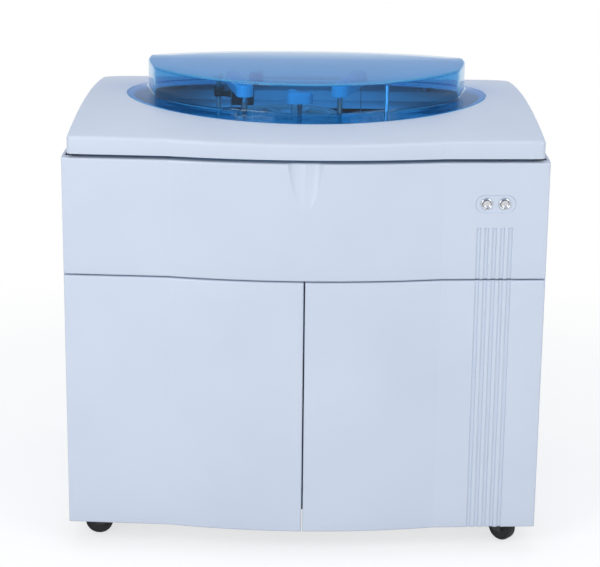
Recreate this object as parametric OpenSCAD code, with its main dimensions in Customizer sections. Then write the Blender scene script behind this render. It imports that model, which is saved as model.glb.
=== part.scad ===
// Floor-standing chemistry analyzer: a cabinet on casters with a lift-up hood,
// a clear blue lid, and a work deck with disks and arms under the lid.
// Millimetres. X is to the right, the front faces -Y, Z is up.
// The origin is on the floor, under the middle of the whole machine.

/* [Cabinet] */
// Width of the cabinet over its side panels
body_w = 1040; // [1000:10:1080]
// Depth of the cabinet from its front corners to its back
body_d = 812; // [796:4:840]
// Clear height under the doors and side panels
floor_gap = 60; // [52:1:70]
// Height of the two doors
door_h = 570; // [540:5:600]
// Height of the upper front panel
panel_h = 255; // [245:1:265]
// Wall of the moulded front panel and doors
skin = 3; // [2.5:0.1:3.5]
// Sheet thickness of the side, back and floor panels
sheet = 2; // [1.5:0.1:2.2]
// Gap between neighbouring front panels
seam = 3; // [2.5:0.1:3.5]

/* [Front bow] */
// Half width of the bowed middle of the front
bow_half = 293; // [285:1:300]
// How far the bowed middle stands out from its two creases
bow_rise = 31; // [26:1:34]
// How far the flat outer zones fall back from the creases to the corners
side_fall = 13; // [11:1:15]
// Depth of the edges that turn back from the front panels
edge_depth = 27; // [26:0.5:28]

/* [Hood] */
// Width of the hood
hood_w = 1014; // [990:2:1030]
// Gap between the upper front panel and the hood
hood_gap = 8; // [7:0.5:10]
// Height of the hood's upright skirt
skirt_h = 38; // [34:1:42]
// Rise of the hood's arched top from its front edge to its crown
hood_rise = 25; // [22:1:28]
// Wall of the hood
hood_wall = 3.5; // [3:0.1:4]
// Radius of the hood's two rear corners
hood_corner = 80; // [60:5:90]

/* [Lid] */
// Half width of the lid's brim
brim_a = 416; // [410:1:420]
// Half depth of the lid's brim
brim_b = 336; // [330:1:336]
// Reach of the brim beyond the lid's wall at its sides
brim_side = 40; // [38:1:52]
// Reach of the brim beyond the lid's wall at its front
brim_front = 74; // [72:1:77]
// Reach of the brim beyond the lid's wall at its back
brim_rear = 48; // [46:1:56]
// Distance of the lid's centre from the cabinet's front corners
lid_set = 446; // [445:1:448]
// Height of the lid's top above the hood's crown
dome_h = 67; // [66:1:75]
// Wall of the lid
lid_wall = 4; // [3.5:0.1:4.5]

/* [Deck] */
// Pitch radius of the cuvette ring
cuvette_ring = 110; // [108:1:112]
// Number of cuvettes
cuvettes_n = 60; // [48:1:64]
// Radius of the sample disk
sample_r = 103; // [100:1:104]
// Radius of the reagent disk
reagent_r = 92; // [90:1:93]
// Diameter of the arm shafts
shaft_d = 12; // [10:0.5:13]
// Height of a cuvette
cuvette_h = 34; // [30:1:36]

/* [Casters] */
// Diameter of the caster wheels
wheel_d = 62; // [58:1:64]
// Width of the caster wheels
wheel_w = 24; // [22:1:26]
// Offset of the wheel axle from the swivel axis
trail = 24; // [22:1:26]

/* [Controls] */
// Diameter of the ring round each push-button
bezel_d = 26; // [24:0.5:28]
// Diameter of the push-button caps
button_d = 17; // [15:0.5:19]
// Distance between the two push-buttons
button_pitch = 38.5; // [36:0.5:41]
// Number of vertical grooves
groove_n = 5; // [4:1:6]
// Distance between neighbouring grooves
groove_pitch = 17; // [16:0.5:17.5]
// Width of one groove
groove_w = 9.6; // [8:0.2:11]
// Depth of one groove
groove_depth = 3; // [2:0.25:3.5]

/* [Hidden] */
$fn = 96;
eps = 0.01;
run_fit = 0.05;  // radial clearance of a pin that turns in its bore
slide_fit = 0.5; // radial clearance of a shaft that passes through a plate
far = 2000;      // longer than the machine in every direction

// Levels, from the floor up
door_z0 = floor_gap;
door_z1 = door_z0 + door_h;
panel_z0 = door_z1 + seam;
panel_z1 = panel_z0 + panel_h;
hood_z0 = panel_z1 + hood_gap;
hood_z1 = hood_z0 + skirt_h;
hood_top = hood_z1 + hood_rise;
dome_top = hood_top + dome_h;

// Places in plan, from the front corners back
front_y = -(body_d - bow_rise - side_fall) / 2;
crease_y = front_y - side_fall;
back_y = front_y + body_d;
bow_r = (bow_half * bow_half + bow_rise * bow_rise) / (2 * bow_rise);
zone_angle = atan(side_fall / (body_w / 2 - bow_half));
return_y = front_y + edge_depth;
side_y = return_y + 2;
lid_y = front_y + lid_set;
mid_y = front_y + body_d / 2;

// Frame tubes
tube = 30;
tube_wall = 2;
base_tube = 40;
frame_z0 = floor_gap + 20;
frame_z1 = frame_z0 + base_tube;
pan_z1 = frame_z1 + sheet;
deck_z0 = panel_z1 - 9;
deck_t = 3;
deck_z1 = deck_z0 + deck_t;
post_x = body_w / 2 - sheet - 4 - tube;
post_y0 = return_y + 12;
post_y1 = back_y - sheet;
top_z0 = deck_z0 - tube;

// Door hinges
knuckle_r = 4;
hinge_pin_r = 2;
door_axis_x = body_w / 2 - knuckle_r;
door_axis_y = return_y - 3;
knuckle_h = 20;
knuckle_gap = 0.4;
door_hinge_z = [door_z0 + 90, (door_z0 + door_z1) / 2, door_z1 - 90];

// Hood and lid hinges
hood_axis_y = back_y - 14;
hood_axis_z = hood_z0 + 6;
hood_pin_r = 4;
hood_ear_r = 8;
hood_ear_w = 10;
hood_hinge_x = 300;
hood_bracket_t = 6;
dome_x = brim_a - brim_side;
dome_rear_y = lid_y + brim_b - brim_rear;
dome_rear_sag = 148; // rise of the lid's rear bow over its ends
dome_rear_r = (dome_x * dome_x + dome_rear_sag * dome_rear_sag) / (2 * dome_rear_sag);
dome_y = lid_y + 68; // where the front bow would be widest
dome_a = dome_x + 12;
dome_b = dome_y - lid_y + brim_b - brim_front;
dome_splay = 10; // the lid's end faces run outwards to the back by this angle
arch_r = (body_d * body_d / 4 + hood_rise * hood_rise) / (2 * hood_rise);
dome_rise = hood_rise * 0.78;
dome_arch_r = (body_d * body_d / 4 + dome_rise * dome_rise) / (2 * dome_rise);
brim_gap = 2;
ledge_depth = 6;
ledge_w = 14;
brim_t = 4;
lid_rest_gap = 0.2;
lid_axis_y = lid_y + brim_b + 6;
lid_axis_z = hood_z1 + 10;
lid_pin_r = 2.5;
lid_barrel_r = 5;
lid_hinge_x = 120;
lid_ear_w = 22;
lid_block_w = 12;
lid_block_x = (lid_ear_w + lid_block_w) / 2 + 0.4;
lid_pad_z = lid_axis_z - lid_barrel_r - 0.5;

// Deck layout: centres of the disks and of the arm shafts
reaction_c = [-45, lid_y + 88];
sample_c = [250, lid_y + 28];
reagent_c = [-285, lid_y - 17];
sample_shaft_c = [75, lid_y - 166];
reagent_shaft_c = [-138, lid_y - 180];
mixer_c = [-15, lid_y - 102];
post_c = [180, lid_y - 172];

// Each arm reaches one cuvette exactly, and its disk is turned so that a tube or bottle meets the probe
cuvette_step = 360 / cuvettes_n;
sample_pick_c = cuvette_place(-6 * cuvette_step);
reagent_pick_c = cuvette_place(-19 * cuvette_step);
mixer_pick_c = cuvette_place(-14 * cuvette_step);
sample_reach = norm(sample_pick_c - sample_shaft_c);
reagent_reach = norm(reagent_pick_c - reagent_shaft_c);
mixer_reach = norm(mixer_pick_c - mixer_c);
sample_rest = -16;
reagent_rest = 12;
mixer_rest = bearing(mixer_pick_c - mixer_c);
mixer_swing = 45;
sample_rinse_c = swung(sample_shaft_c, sample_reach, sample_rest);
reagent_rinse_c = swung(reagent_shaft_c, reagent_reach, reagent_rest);
mixer_rinse_c = swung(mixer_c, mixer_reach, mixer_rest + mixer_swing);
tube_ring_r = 82;
inner_ring_r = 58;
bottle_ring = 64;
sample_turn = crossing(sample_shaft_c, sample_c, tube_ring_r, sample_reach, -1);
reagent_turn = crossing(reagent_shaft_c, reagent_c, bottle_ring, reagent_reach, 1);
tube_c = swung(sample_shaft_c, sample_reach, sample_turn);
bottle_c = swung(reagent_shaft_c, reagent_reach, reagent_turn);
arm_z = hood_z1 + 44;
arm_h = 27;
arm_w = 38;

// Wash station over the left of the ring, with a needle above each of its cuvettes
wash_c = reaction_c + [-cuvette_ring, 0];
wash_column_c = wash_c + [-56, 52];
wash_needles_n = 5;

// Angle of a direction in plan, counted to the left from straight back
function bearing(v) = atan2(-v[0], v[1]);
// Where the end of an arm stands in plan
function swung(c, reach, angle) = c + reach * [-sin(angle), cos(angle)];
// Centre of the cuvette at an angle round the ring
function cuvette_place(angle) = reaction_c + cuvette_ring * [cos(angle), sin(angle)];
// Angle at which an arm's end meets a ring of a disk; side picks the left or right meeting point
function crossing(shaft, disk, ring, reach, side) =
  let (d = norm(disk - shaft))
  bearing(disk - shaft) + side * acos((d * d + reach * reach - ring * ring) / (2 * d * reach));

// Button recess
control_x = 405;
recess_w = 87;
recess_h = 39;
recess_depth = 2.5;
recess_z = panel_z0 + 166;
control_y = crease_y + (control_x - bow_half) * tan(zone_angle);
groove_top = panel_z0 + 114;
pad_t = 4;
button_travel = 2.5;

// Casters
axle_z = wheel_d / 2;
axle_r = 4;
kingpin_r = 5;
caster_x = post_x - 47;
caster_y = [front_y + 90, back_y - 75];
caster_turn = 40; // how far the front right caster stands turned to the front
plate_t = 4;
plate_half = 42;
gusset_z = frame_z0 + plate_t;
fork_top = frame_z0 - 6;
wheel_side_gap = 1;
fork_t = 4;

// Colours
white = "#d3dce9";
cool_grey = "#b9c2cc";
steel = "#9aa3ab";
chrome_grey = "#d8dde2";
black = "#25282c";
lid_blue = "#3d86c6";
cover_blue = "#3d97cf";

// Plan of the cabinet's front: two flat outer zones that meet a bowed middle.
// back is how far the outline is set back, and edge how far it is drawn in at the sides.
module front_plan(back = 0, edge = 0, depth = far) {
  half = body_w / 2 - edge;
  corner = front_y + back - edge * tan(zone_angle);
  translate([0, back])
    intersection() {
      translate([0, crease_y + sqrt(bow_r * bow_r - bow_half * bow_half)])
        circle(r = bow_r, $fn = 720);
      translate([-bow_half, crease_y - bow_rise - 1])
        square([2 * bow_half, bow_rise + 2]);
    }
  polygon([
    [-half, corner], [-bow_half, crease_y + back], [bow_half, crease_y + back], [half, corner],
    [half, corner + depth], [-half, corner + depth]
  ]);
}

// The same plan cut off at a straight line behind it, as a slab between two heights
module front_slab(z0, z1, back, edge, y_end) {
  translate([0, 0, z0])
    linear_extrude(z1 - z0)
      intersection() {
        front_plan(back, edge);
        translate([-far / 2, -far])
          square([far, far + y_end]);
      }
}

// A long barrel along X whose top is the arch from front to back
module arch_body(top, radius) {
  translate([0, mid_y, top - radius])
    rotate([0, 90, 0])
      cylinder(r = radius, h = far, center = true, $fn = 1440);
}

module oval(a, b) {
  scale([1, b / a])
    circle(r = a, $fn = 180);
}

module oval_slab(a, b, z0, z1) {
  translate([0, lid_y, z0])
    linear_extrude(z1 - z0)
      oval(a, b);
}

// Square tube along one axis, from a corner point
module tube_bar(size, length, axis) {
  inner = size - 2 * tube_wall;
  dims = axis == "x" ? [length, size, size] : axis == "y" ? [size, length, size] : [size, size, length];
  hole = axis == "x" ? [length + 2, inner, inner]
       : axis == "y" ? [inner, length + 2, inner] : [inner, inner, length + 2];
  start = axis == "x" ? [-1, tube_wall, tube_wall]
        : axis == "y" ? [tube_wall, -1, tube_wall] : [tube_wall, tube_wall, -1];
  difference() {
    cube(dims);
    translate(start) cube(hole);
  }
}

module at(c, z = 0) {
  translate([c[0], c[1], z]) children();
}

module tube_ring(r_out, r_in, h, z = 0) {
  translate([0, 0, z])
    difference() {
      cylinder(r = r_out, h = h);
      translate([0, 0, -1]) cylinder(r = r_in, h = h + 2);
    }
}

// Welded base: a ring of square tube, a middle bar and a plate in each corner
module base_frame() {
  long = 2 * (post_x + tube);
  deep = post_y1 - post_y0;
  color(steel) {
    for (y = [post_y0, post_y1 - base_tube])
      translate([-long / 2, y, frame_z0]) tube_bar(base_tube, long, "x");
    for (x = [-long / 2, -base_tube / 2, long / 2 - base_tube])
      translate([x, post_y0 + base_tube, frame_z0]) tube_bar(base_tube, deep - 2 * base_tube, "y");
    for (s = [0, 1])
      mirror([s, 0, 0]) {
        base_gusset(caster_y[0], post_y0 + base_tube - 1, caster_y[0] + plate_half);
        base_gusset(caster_y[1], caster_y[1] - plate_half, post_y1 - base_tube + 1);
      }
  }
}

// Flat plate in a corner of the base, set up from its underside, with a hole for a caster's stem
module base_gusset(stem_y, y0, y1) {
  x0 = caster_x - plate_half;
  difference() {
    translate([x0, y0, gusset_z]) cube([post_x + tube - base_tube + 1 - x0, y1 - y0, plate_t]);
    translate([caster_x, stem_y, gusset_z - 1]) cylinder(r = kingpin_r + run_fit, h = plate_t + 2);
  }
}

// Four posts and a top ring that carries the deck
module cabinet_frame() {
  post_h = deck_z0 - frame_z1;
  inner_w = 2 * post_x;
  inner_d = post_y1 - post_y0 - 2 * tube;
  color(steel) {
    for (x = [-post_x - tube, post_x], y = [post_y0, post_y1 - tube])
      translate([x, y, frame_z1]) tube_bar(tube, post_h, "z");
    for (y = [post_y0, post_y1 - tube])
      translate([-post_x, y, top_z0]) tube_bar(tube, inner_w, "x");
    for (x = [-post_x - tube, post_x])
      translate([x, post_y0 + tube, top_z0]) tube_bar(tube, inner_d, "y");
    translate([-post_x, post_y0, door_z1 - tube / 2])
      tube_bar(tube, inner_w, "x");
  }
}

// Tray that closes the cabinet's floor, with a turned-up rim between the posts
module floor_pan() {
  rim = 16;
  w = 2 * post_x - 2;
  y0 = post_y0 + tube + 1;
  d = post_y1 - tube - 1 - y0;
  color(cool_grey)
    difference() {
      translate([-w / 2, y0, frame_z1]) cube([w, d, sheet + rim]);
      translate([-w / 2 + sheet, y0 + sheet, frame_z1 + sheet]) cube([w - 2 * sheet, d - 2 * sheet, rim + 1]);
    }
}

// Side panel: a flat sheet with turned edges and a field of louvre slots low at the back
module side_panel() {
  flange = body_w / 2 - sheet - post_x - tube;
  slot = [120, 5];
  slot_pitch = 14;
  slot_n = 9;
  panel_back = back_y - sheet - 1;
  z1 = panel_z1;
  color(white)
    difference() {
      translate([-body_w / 2, side_y, floor_gap]) cube([sheet + flange, panel_back - side_y, z1 - floor_gap]);
      translate([-body_w / 2 + sheet, side_y + sheet, floor_gap + sheet])
        cube([flange + 1, panel_back - side_y - 2 * sheet, z1 - floor_gap - 2 * sheet]);
      for (i = [0:slot_n - 1], j = [0, 1])
        translate([-body_w / 2 - 1, panel_back - 330 + j * 150, floor_gap + 90 + i * slot_pitch])
          cube([sheet + 2, slot[0], slot[1]]);
    }
}
module left_side_panel() { side_panel(); }
module right_side_panel() { mirror([1, 0, 0]) side_panel(); }

// Back panel with a fan opening, an inlet opening and louvre slots
fan_c = [270 - body_w / 2, deck_z0 - 260];
fan_size = 120;
inlet_c = [body_w / 2 - 90, floor_gap + 130];
inlet_size = [50, 60];
module back_panel() {
  z1 = hood_z0 - 6;
  slot = [160, 5];
  slot_pitch = 16;
  slot_n = 8;
  color(white)
    difference() {
      translate([-body_w / 2, back_y - sheet, floor_gap]) cube([body_w, sheet, z1 - floor_gap]);
      translate([fan_c[0], back_y - sheet - 1, fan_c[1]])
        rotate([-90, 0, 0]) cylinder(r = fan_size / 2 - 3, h = sheet + 2);
      translate([inlet_c[0] - inlet_size[0] / 2, back_y - sheet - 1, inlet_c[1] - inlet_size[1] / 2])
        cube([inlet_size[0], sheet + 2, inlet_size[1]]);
      for (i = [0:slot_n - 1], s = [-1, 1])
        translate([s * (slot[0] / 2 + 60) - slot[0] / 2, back_y - sheet - 1, floor_gap + 120 + i * slot_pitch])
          cube([slot[0], sheet + 2, slot[1]]);
    }
}

// A front panel skin between two heights: the outer plan less an inner plan, open to the back
module front_shell(z0, z1) {
  difference() {
    front_slab(z0, z1, 0, 1, return_y);
    front_slab(z0 + skin, z1 - skin, skin, 1 + skin, return_y + 1);
  }
}

// Places a shape square to the flat right zone, at the controls
module on_control_zone(z) {
  translate([control_x, control_y, z])
    rotate([0, 0, zone_angle])
      children();
}

// The set of vertical grooves, cut into the right zone between two heights
module grooves(z0, z1) {
  span = (groove_n - 1) * groove_pitch;
  on_control_zone(0)
    for (i = [0:groove_n - 1])
      translate([-span / 2 + i * groove_pitch - groove_w / 2, -far, z0])
        cube([groove_w, far + groove_depth, z1 - z0]);
}

// Thicker wall behind the grooves, so that they never break through
module groove_backing(z0, z1) {
  w = groove_n * groove_pitch + 8;
  on_control_zone(0)
    translate([-w / 2, skin - 1, z0 + skin / 2])
      cube([w, groove_depth + 1, z1 - z0 - skin]);
}

// Stadium outline standing in the X-Z plane, centred, pushed back along +Y
module stadium(w, h, depth) {
  rotate([-90, 0, 0]) {
    linear_extrude(depth) {
      square([w - h, h], center = true);
      for (s = [-1, 1]) translate([s * (w - h) / 2, 0]) circle(r = h / 2);
    }
  }
}

// Finger scoop: two round channels that run apart upwards from one tip, with a ridge between
scoop_r = 30;
scoop_h = 98;
scoop_depth = 12;
scoop_spread = 12;
module scoop_channels(grow = 0) {
  apex_y = crease_y - bow_rise;
  lean = atan(scoop_depth / scoop_h);
  spread = atan(scoop_spread / scoop_h);
  for (s = [-1, 1])
    translate([0, apex_y - scoop_r, panel_z1 - scoop_h])
      rotate([-lean, s * spread, 0])
        translate([0, 0, -scoop_h / 2])
          cylinder(r = scoop_r + grow, h = 2 * scoop_h);
}

module front_panel() {
  boss = 18;
  color(white)
    difference() {
      union() {
        front_shell(panel_z0, panel_z1);
        for (s = [-1, 1], z = [panel_z0 + 20, panel_z1 - 40])
          translate([s * (post_x + tube / 2) - boss / 2, front_y, z]) cube([boss, post_y0 - front_y, boss]);
        groove_backing(panel_z0, groove_top + pad_t);
        on_control_zone(recess_z)
          translate([0, skin - 1, 0]) stadium(recess_w + 8, recess_h + 8, recess_depth + 1);
        intersection() {
          scoop_channels(skin);
          front_slab(panel_z1 - scoop_h - 20, panel_z1, 1, 5, return_y);
        }
      }
      grooves(panel_z0 - 1, groove_top);
      on_control_zone(recess_z)
        translate([0, -1, 0]) stadium(recess_w, recess_h, recess_depth + 1);
      for (s = [-1, 1])
        on_control_zone(recess_z)
          translate([s * button_pitch / 2, -10, 0])
            rotate([-90, 0, 0]) cylinder(r = button_d / 2 + 2, h = 30);
      scoop_channels();
    }
}

// Chrome rings round the push-buttons, each with a sleeve that guides the cap
module button_bezels() {
  sleeve_r = button_d / 2 + 2 - 0.1;
  color(chrome_grey)
    for (s = [-1, 1])
      on_control_zone(recess_z)
        translate([s * button_pitch / 2, recess_depth, 0])
          rotate([90, 0, 0]) {
            tube_ring(bezel_d / 2, button_d / 2 + 0.3, 3.5);
            tube_ring(sleeve_r, button_d / 2 + 0.3, 10, -10);
          }
}

module button_cap(s) {
  crown = 1.2;
  color(chrome_grey)
    on_control_zone(recess_z)
      translate([s * button_pitch / 2, recess_depth, 0])
        rotate([90, 0, 0])
          translate([0, 0, -7])
            rotate_extrude()
              polygon([
                [0, 0], [button_d / 2, 0], [button_d / 2, 11], [button_d / 2 - crown, 11 + crown],
                [button_d / 4, 11 + crown], [button_d / 4 - 1, 10 + crown], [0, 10 + crown]
              ]);
}
module left_button() { button_cap(-1); }
module right_button() { button_cap(1); }

// Half of the door front, to one side of the middle gap
module door_half(s) {
  intersection() {
    children();
    translate([s > 0 ? seam / 2 : -far - seam / 2, -far / 2, 0]) cube([far, far, far]);
  }
}

// A door: skin with edges turned back, hinge knuckles, and the strike of its magnetic catch
module door(s) {
  lug_w = 16;
  inner_edge = s > 0 ? seam / 2 : -seam / 2 - skin;
  apex_y = crease_y - bow_rise;
  strike = 30;
  color(white)
    difference() {
      union() {
        door_half(s) front_shell(door_z0, door_z1);
        translate([inner_edge, apex_y + 1, door_z0]) cube([skin, return_y - apex_y - 1, door_h]);
        if (s > 0) groove_backing(door_z0, door_z1);
        for (z = door_hinge_z)
          translate([s * door_axis_x, door_axis_y, z - knuckle_h / 2 + knuckle_gap]) {
            cylinder(r = knuckle_r, h = knuckle_h - 2 * knuckle_gap);
            translate([s > 0 ? -lug_w : 0, -knuckle_r, 0]) cube([lug_w, knuckle_r, knuckle_h - 2 * knuckle_gap]);
          }
        translate([s > 0 ? inner_edge + skin : inner_edge - strike, return_y - 3, door_z1 - skin - strike])
          cube([strike, 3, strike]);
      }
      if (s > 0) grooves(door_z0 - 1, door_z1 + 1);
      for (z = door_hinge_z)
        translate([s * door_axis_x, door_axis_y, z]) {
          translate([0, 0, -1.5 * knuckle_h - 1]) cylinder(r = hinge_pin_r + run_fit, h = 3 * knuckle_h + 2);
          for (t = [-1, 1])
            translate([0, 0, t * knuckle_h - knuckle_h / 2 - knuckle_gap])
              cylinder(r = knuckle_r + 1, h = knuckle_h + 2 * knuckle_gap);
        }
    }
}
module left_door() { door(-1); }
module right_door() { door(1); }

// Frame knuckles, their pins and the leaves that run back to the front posts
module door_hinges() {
  color(steel)
    for (s = [-1, 1], z = door_hinge_z)
      translate([s * door_axis_x, door_axis_y, z]) {
        translate([0, 0, -1.5 * knuckle_h]) cylinder(r = hinge_pin_r, h = 3 * knuckle_h);
        for (t = [-1, 1])
          translate([0, 0, t * knuckle_h - knuckle_h / 2]) {
            cylinder(r = knuckle_r, h = knuckle_h);
            translate([s > 0 ? -knuckle_r : knuckle_r - 2, 0, 0])
              cube([2, post_y0 - door_axis_y, knuckle_h]);
            translate([s > 0 ? -24 : 2, post_y0 - door_axis_y - 2, 0])
              cube([22, 2, knuckle_h]);
          }
      }
}

// Magnetic catches on the cross rail above the doors' meeting edges
module door_catches() {
  body = [32, post_y0 - return_y - 0.4, 16];
  color(black)
    for (s = [-1, 1])
      translate([s * 22 - body[0] / 2, return_y + 0.4, door_z1 - 22])
        cube(body);
}

// Stems that the casters turn on, each with a shoulder under its plate and a nut on top
module caster_stems() {
  stem_z0 = fork_top - 16;
  stem_z1 = gusset_z + plate_t + 10;
  color(steel)
    for (x = [-caster_x, caster_x], y = caster_y)
      translate([x, y, 0]) {
        translate([0, 0, stem_z0]) cylinder(r = kingpin_r, h = stem_z1 - stem_z0);
        translate([0, 0, fork_top + 1]) cylinder(r = kingpin_r + 4, h = gusset_z - fork_top - 1);
        translate([0, 0, gusset_z + plate_t]) cylinder(r = kingpin_r + 4, h = 7, $fn = 6);
      }
}

module fork_shape() {
  half = wheel_w / 2 + wheel_side_gap;
  color(black)
    difference() {
      union() {
        translate([0, 0, fork_top - 6]) cylinder(r = 26, h = 6);
        translate([0, 0, fork_top - 14]) cylinder(r = 12, h = 14);
        for (t = [-1, 1])
          translate([0, t * (half + fork_t / 2), 0])
            rotate([90, 0, 0])
              translate([0, 0, -fork_t / 2])
                linear_extrude(fork_t)
                  polygon([
                    [-20, fork_top], [18, fork_top], [18, fork_top - 8], [trail / -2, axle_z - 8],
                    [-trail - 8, axle_z - 8], [-trail - 8, axle_z + 8]
                  ]);
        translate([-trail, -half - fork_t, axle_z])
          rotate([-90, 0, 0]) cylinder(r = axle_r, h = 2 * half + 2 * fork_t);
      }
      translate([0, 0, fork_top - 15]) cylinder(r = kingpin_r + run_fit, h = 30);
      translate([-trail, -half, axle_z])
        rotate([-90, 0, 0])
          difference() {
            cylinder(r = wheel_d / 2 + 3, h = 2 * half);
            translate([0, 0, -1]) cylinder(r = axle_r, h = 2 * half + 2);
          }
    }
}

module wheel_shape() {
  round = 4;
  color(black)
    translate([-trail, 0, axle_z])
      rotate([90, 0, 0])
        difference() {
          rotate_extrude()
            polygon([
              [0, -wheel_w / 2], [wheel_d / 2 - 14, -wheel_w / 2], [wheel_d / 2 - 12, -wheel_w / 2 + 2],
              [wheel_d / 2 - round - 3, -wheel_w / 2 + 2], [wheel_d / 2 - round, -wheel_w / 2],
              [wheel_d / 2, -wheel_w / 2 + round], [wheel_d / 2, wheel_w / 2 - round],
              [wheel_d / 2 - round, wheel_w / 2], [wheel_d / 2 - round - 3, wheel_w / 2 - 2],
              [wheel_d / 2 - 12, wheel_w / 2 - 2], [wheel_d / 2 - 14, wheel_w / 2], [0, wheel_w / 2]
            ]);
          translate([0, 0, -wheel_w]) cylinder(r = axle_r + run_fit, h = 2 * wheel_w);
        }
}

// side -1 puts the caster on the left with its wheel trailing outwards, 1 on the right
module caster_at(side, row) {
  turn = side < 0 ? 0 : row == 0 ? 180 - caster_turn : 180;
  translate([side * caster_x, caster_y[row], 0])
    rotate([0, 0, turn])
      children();
}
module front_left_fork() { caster_at(-1, 0) fork_shape(); }
module front_right_fork() { caster_at(1, 0) fork_shape(); }
module rear_left_fork() { caster_at(-1, 1) fork_shape(); }
module rear_right_fork() { caster_at(1, 1) fork_shape(); }
module front_left_wheel() { caster_at(-1, 0) wheel_shape(); }
module front_right_wheel() { caster_at(1, 0) wheel_shape(); }
module rear_left_wheel() { caster_at(-1, 1) wheel_shape(); }
module rear_right_wheel() { caster_at(1, 1) wheel_shape(); }

// Plan of the hood: the bowed front, straight sides and two large round rear corners
module hood_plan(inset = 0) {
  half = hood_w / 2 - inset;
  rear = back_y - inset;
  r = hood_corner - inset;
  intersection() {
    front_plan(inset, body_w / 2 - half);
    union() {
      translate([-half, -far]) square([2 * half, far + rear - r]);
      translate([-half + r, -far]) square([2 * half - 2 * r, far + rear]);
      for (s = [-1, 1]) translate([s * (half - r), rear - r]) circle(r = r);
    }
  }
}

module hood_body(inset, top_drop, z0) {
  intersection() {
    translate([0, 0, z0]) linear_extrude(hood_top + 10 - z0) hood_plan(inset);
    arch_body(hood_top - top_drop, arch_r - top_drop);
  }
}

// Arched ring that stiffens the hood under the lid's brim and makes the ledge the brim lies in
module hood() {
  ring_depth = 9;
  color(white)
    difference() {
      union() {
        difference() {
          hood_body(0, 0, hood_z0);
          hood_body(hood_wall, hood_wall, hood_z0 - 1);
        }
        intersection() {
          oval_slab(brim_a + 6, brim_b + 5, hood_z0, hood_top + 10);
          difference() {
            hood_body(hood_wall, 1, hood_z0);
            arch_body(hood_top - ring_depth - hood_wall, arch_r - ring_depth - hood_wall);
          }
        }
        for (s = [-1, 1])
          translate([s * hood_hinge_x - hood_ear_w / 2, hood_axis_y, hood_axis_z])
            rotate([0, 90, 0])
              linear_extrude(hood_ear_w) {
                circle(r = hood_ear_r);
                translate([hood_axis_z - hood_z1, -hood_ear_r]) square([hood_z1 - hood_axis_z, 2 * hood_ear_r]);
              }
        for (s = [-1, 1])
          translate([s * (lid_hinge_x + lid_block_x) - lid_block_w / 2 - 2, lid_axis_y - 7, lid_pad_z - 6])
            cube([lid_block_w + 4, 14, 6]);
      }
      difference() {
        oval_slab(brim_a + brim_gap, brim_b + brim_gap, hood_z0, hood_top + 10);
        arch_body(hood_top - ledge_depth, arch_r - ledge_depth);
      }
      oval_slab(brim_a - ledge_w, brim_b - ledge_w, hood_z0 - 1, hood_top + 10);
      for (s = [-1, 1]) {
        translate([s * hood_hinge_x - hood_ear_w, hood_axis_y, hood_axis_z])
          rotate([0, 90, 0]) cylinder(r = hood_pin_r + run_fit, h = 2 * hood_ear_w);
        hood_notch(s);
      }
    }
}

// Notch in the hood's rear skirt that passes over a hinge bracket as the hood opens
module hood_notch(s) {
  w = hood_bracket_t + 2;
  middle = s * (hood_hinge_x + hood_ear_w / 2 + 0.5 + hood_bracket_t / 2);
  translate([middle - w / 2, hood_axis_y + hood_ear_r + 0.2, hood_z0 - 1])
    cube([w, back_y - hood_axis_y, hood_axis_z - hood_z0 + 6]);
}

// Brackets on the top rail that hold the hood's hinge pins
module hood_hinges() {
  color(steel)
    for (s = [-1, 1])
      translate([s * (hood_hinge_x + hood_ear_w / 2 + 0.5 + hood_bracket_t / 2), 0, 0]) {
        translate([-hood_bracket_t / 2, hood_axis_y, hood_axis_z])
          rotate([0, 90, 0])
            linear_extrude(hood_bracket_t) {
              circle(r = hood_ear_r - 0.5);
              translate([0, -hood_ear_r + 0.5]) square([hood_axis_z - deck_z0, 2 * hood_ear_r - 1]);
            }
        translate([-hood_bracket_t / 2 - (s > 0 ? hood_ear_w + 0.5 : 0), hood_axis_y, hood_axis_z])
          rotate([0, 90, 0]) cylinder(r = hood_pin_r, h = hood_ear_w + 0.5 + hood_bracket_t);
      }
}

// Rubber stops on the deck's front corners, just under the hood's skirt
module hood_buffers() {
  pad_r = 9;
  color(black)
    for (s = [-1, 1])
      translate([s * (post_x + tube / 2), post_y0 + tube / 2, deck_z1]) {
        cylinder(r = pad_r, h = hood_z0 - deck_z1 - slide_fit);
        cylinder(r = pad_r + 3, h = 3);
      }
}

// Rubber pads on the ledge, square to its arch, that the lid's brim rests on
module lid_pads() {
  pad_n = 10;
  pad_r = 5;
  ring_a = brim_a - ledge_w / 2;
  ring_b = brim_b - ledge_w / 2;
  color(black)
    for (i = [0:pad_n - 1]) {
      angle = (i + 0.5) * 360 / pad_n;
      tilt = asin((lid_y + ring_b * sin(angle) - mid_y) / arch_r);
      translate([ring_a * cos(angle), mid_y, hood_top - arch_r])
        rotate([-tilt, 0, 0])
          translate([0, 0, arch_r - ledge_depth]) cylinder(r = pad_r, h = ledge_depth - brim_t - lid_rest_gap);
    }
}

// Hinge blocks on two pads behind the lid, each with the pin that the lid's ear turns on
module lid_hinges() {
  pin_l = lid_block_x + lid_block_w / 2 + lid_ear_w / 2;
  color(white)
    for (s = [0, 1])
      mirror([s, 0, 0])
        translate([lid_hinge_x, lid_axis_y, lid_axis_z])
          rotate([0, 90, 0]) {
            translate([0, 0, lid_block_x - lid_block_w / 2])
              linear_extrude(lid_block_w) {
                circle(r = lid_barrel_r);
                translate([0, -lid_barrel_r]) square([lid_axis_z - lid_pad_z, 2 * lid_barrel_r]);
              }
            translate([0, 0, -lid_ear_w / 2]) cylinder(r = lid_pin_r, h = pin_l);
          }
}

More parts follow.
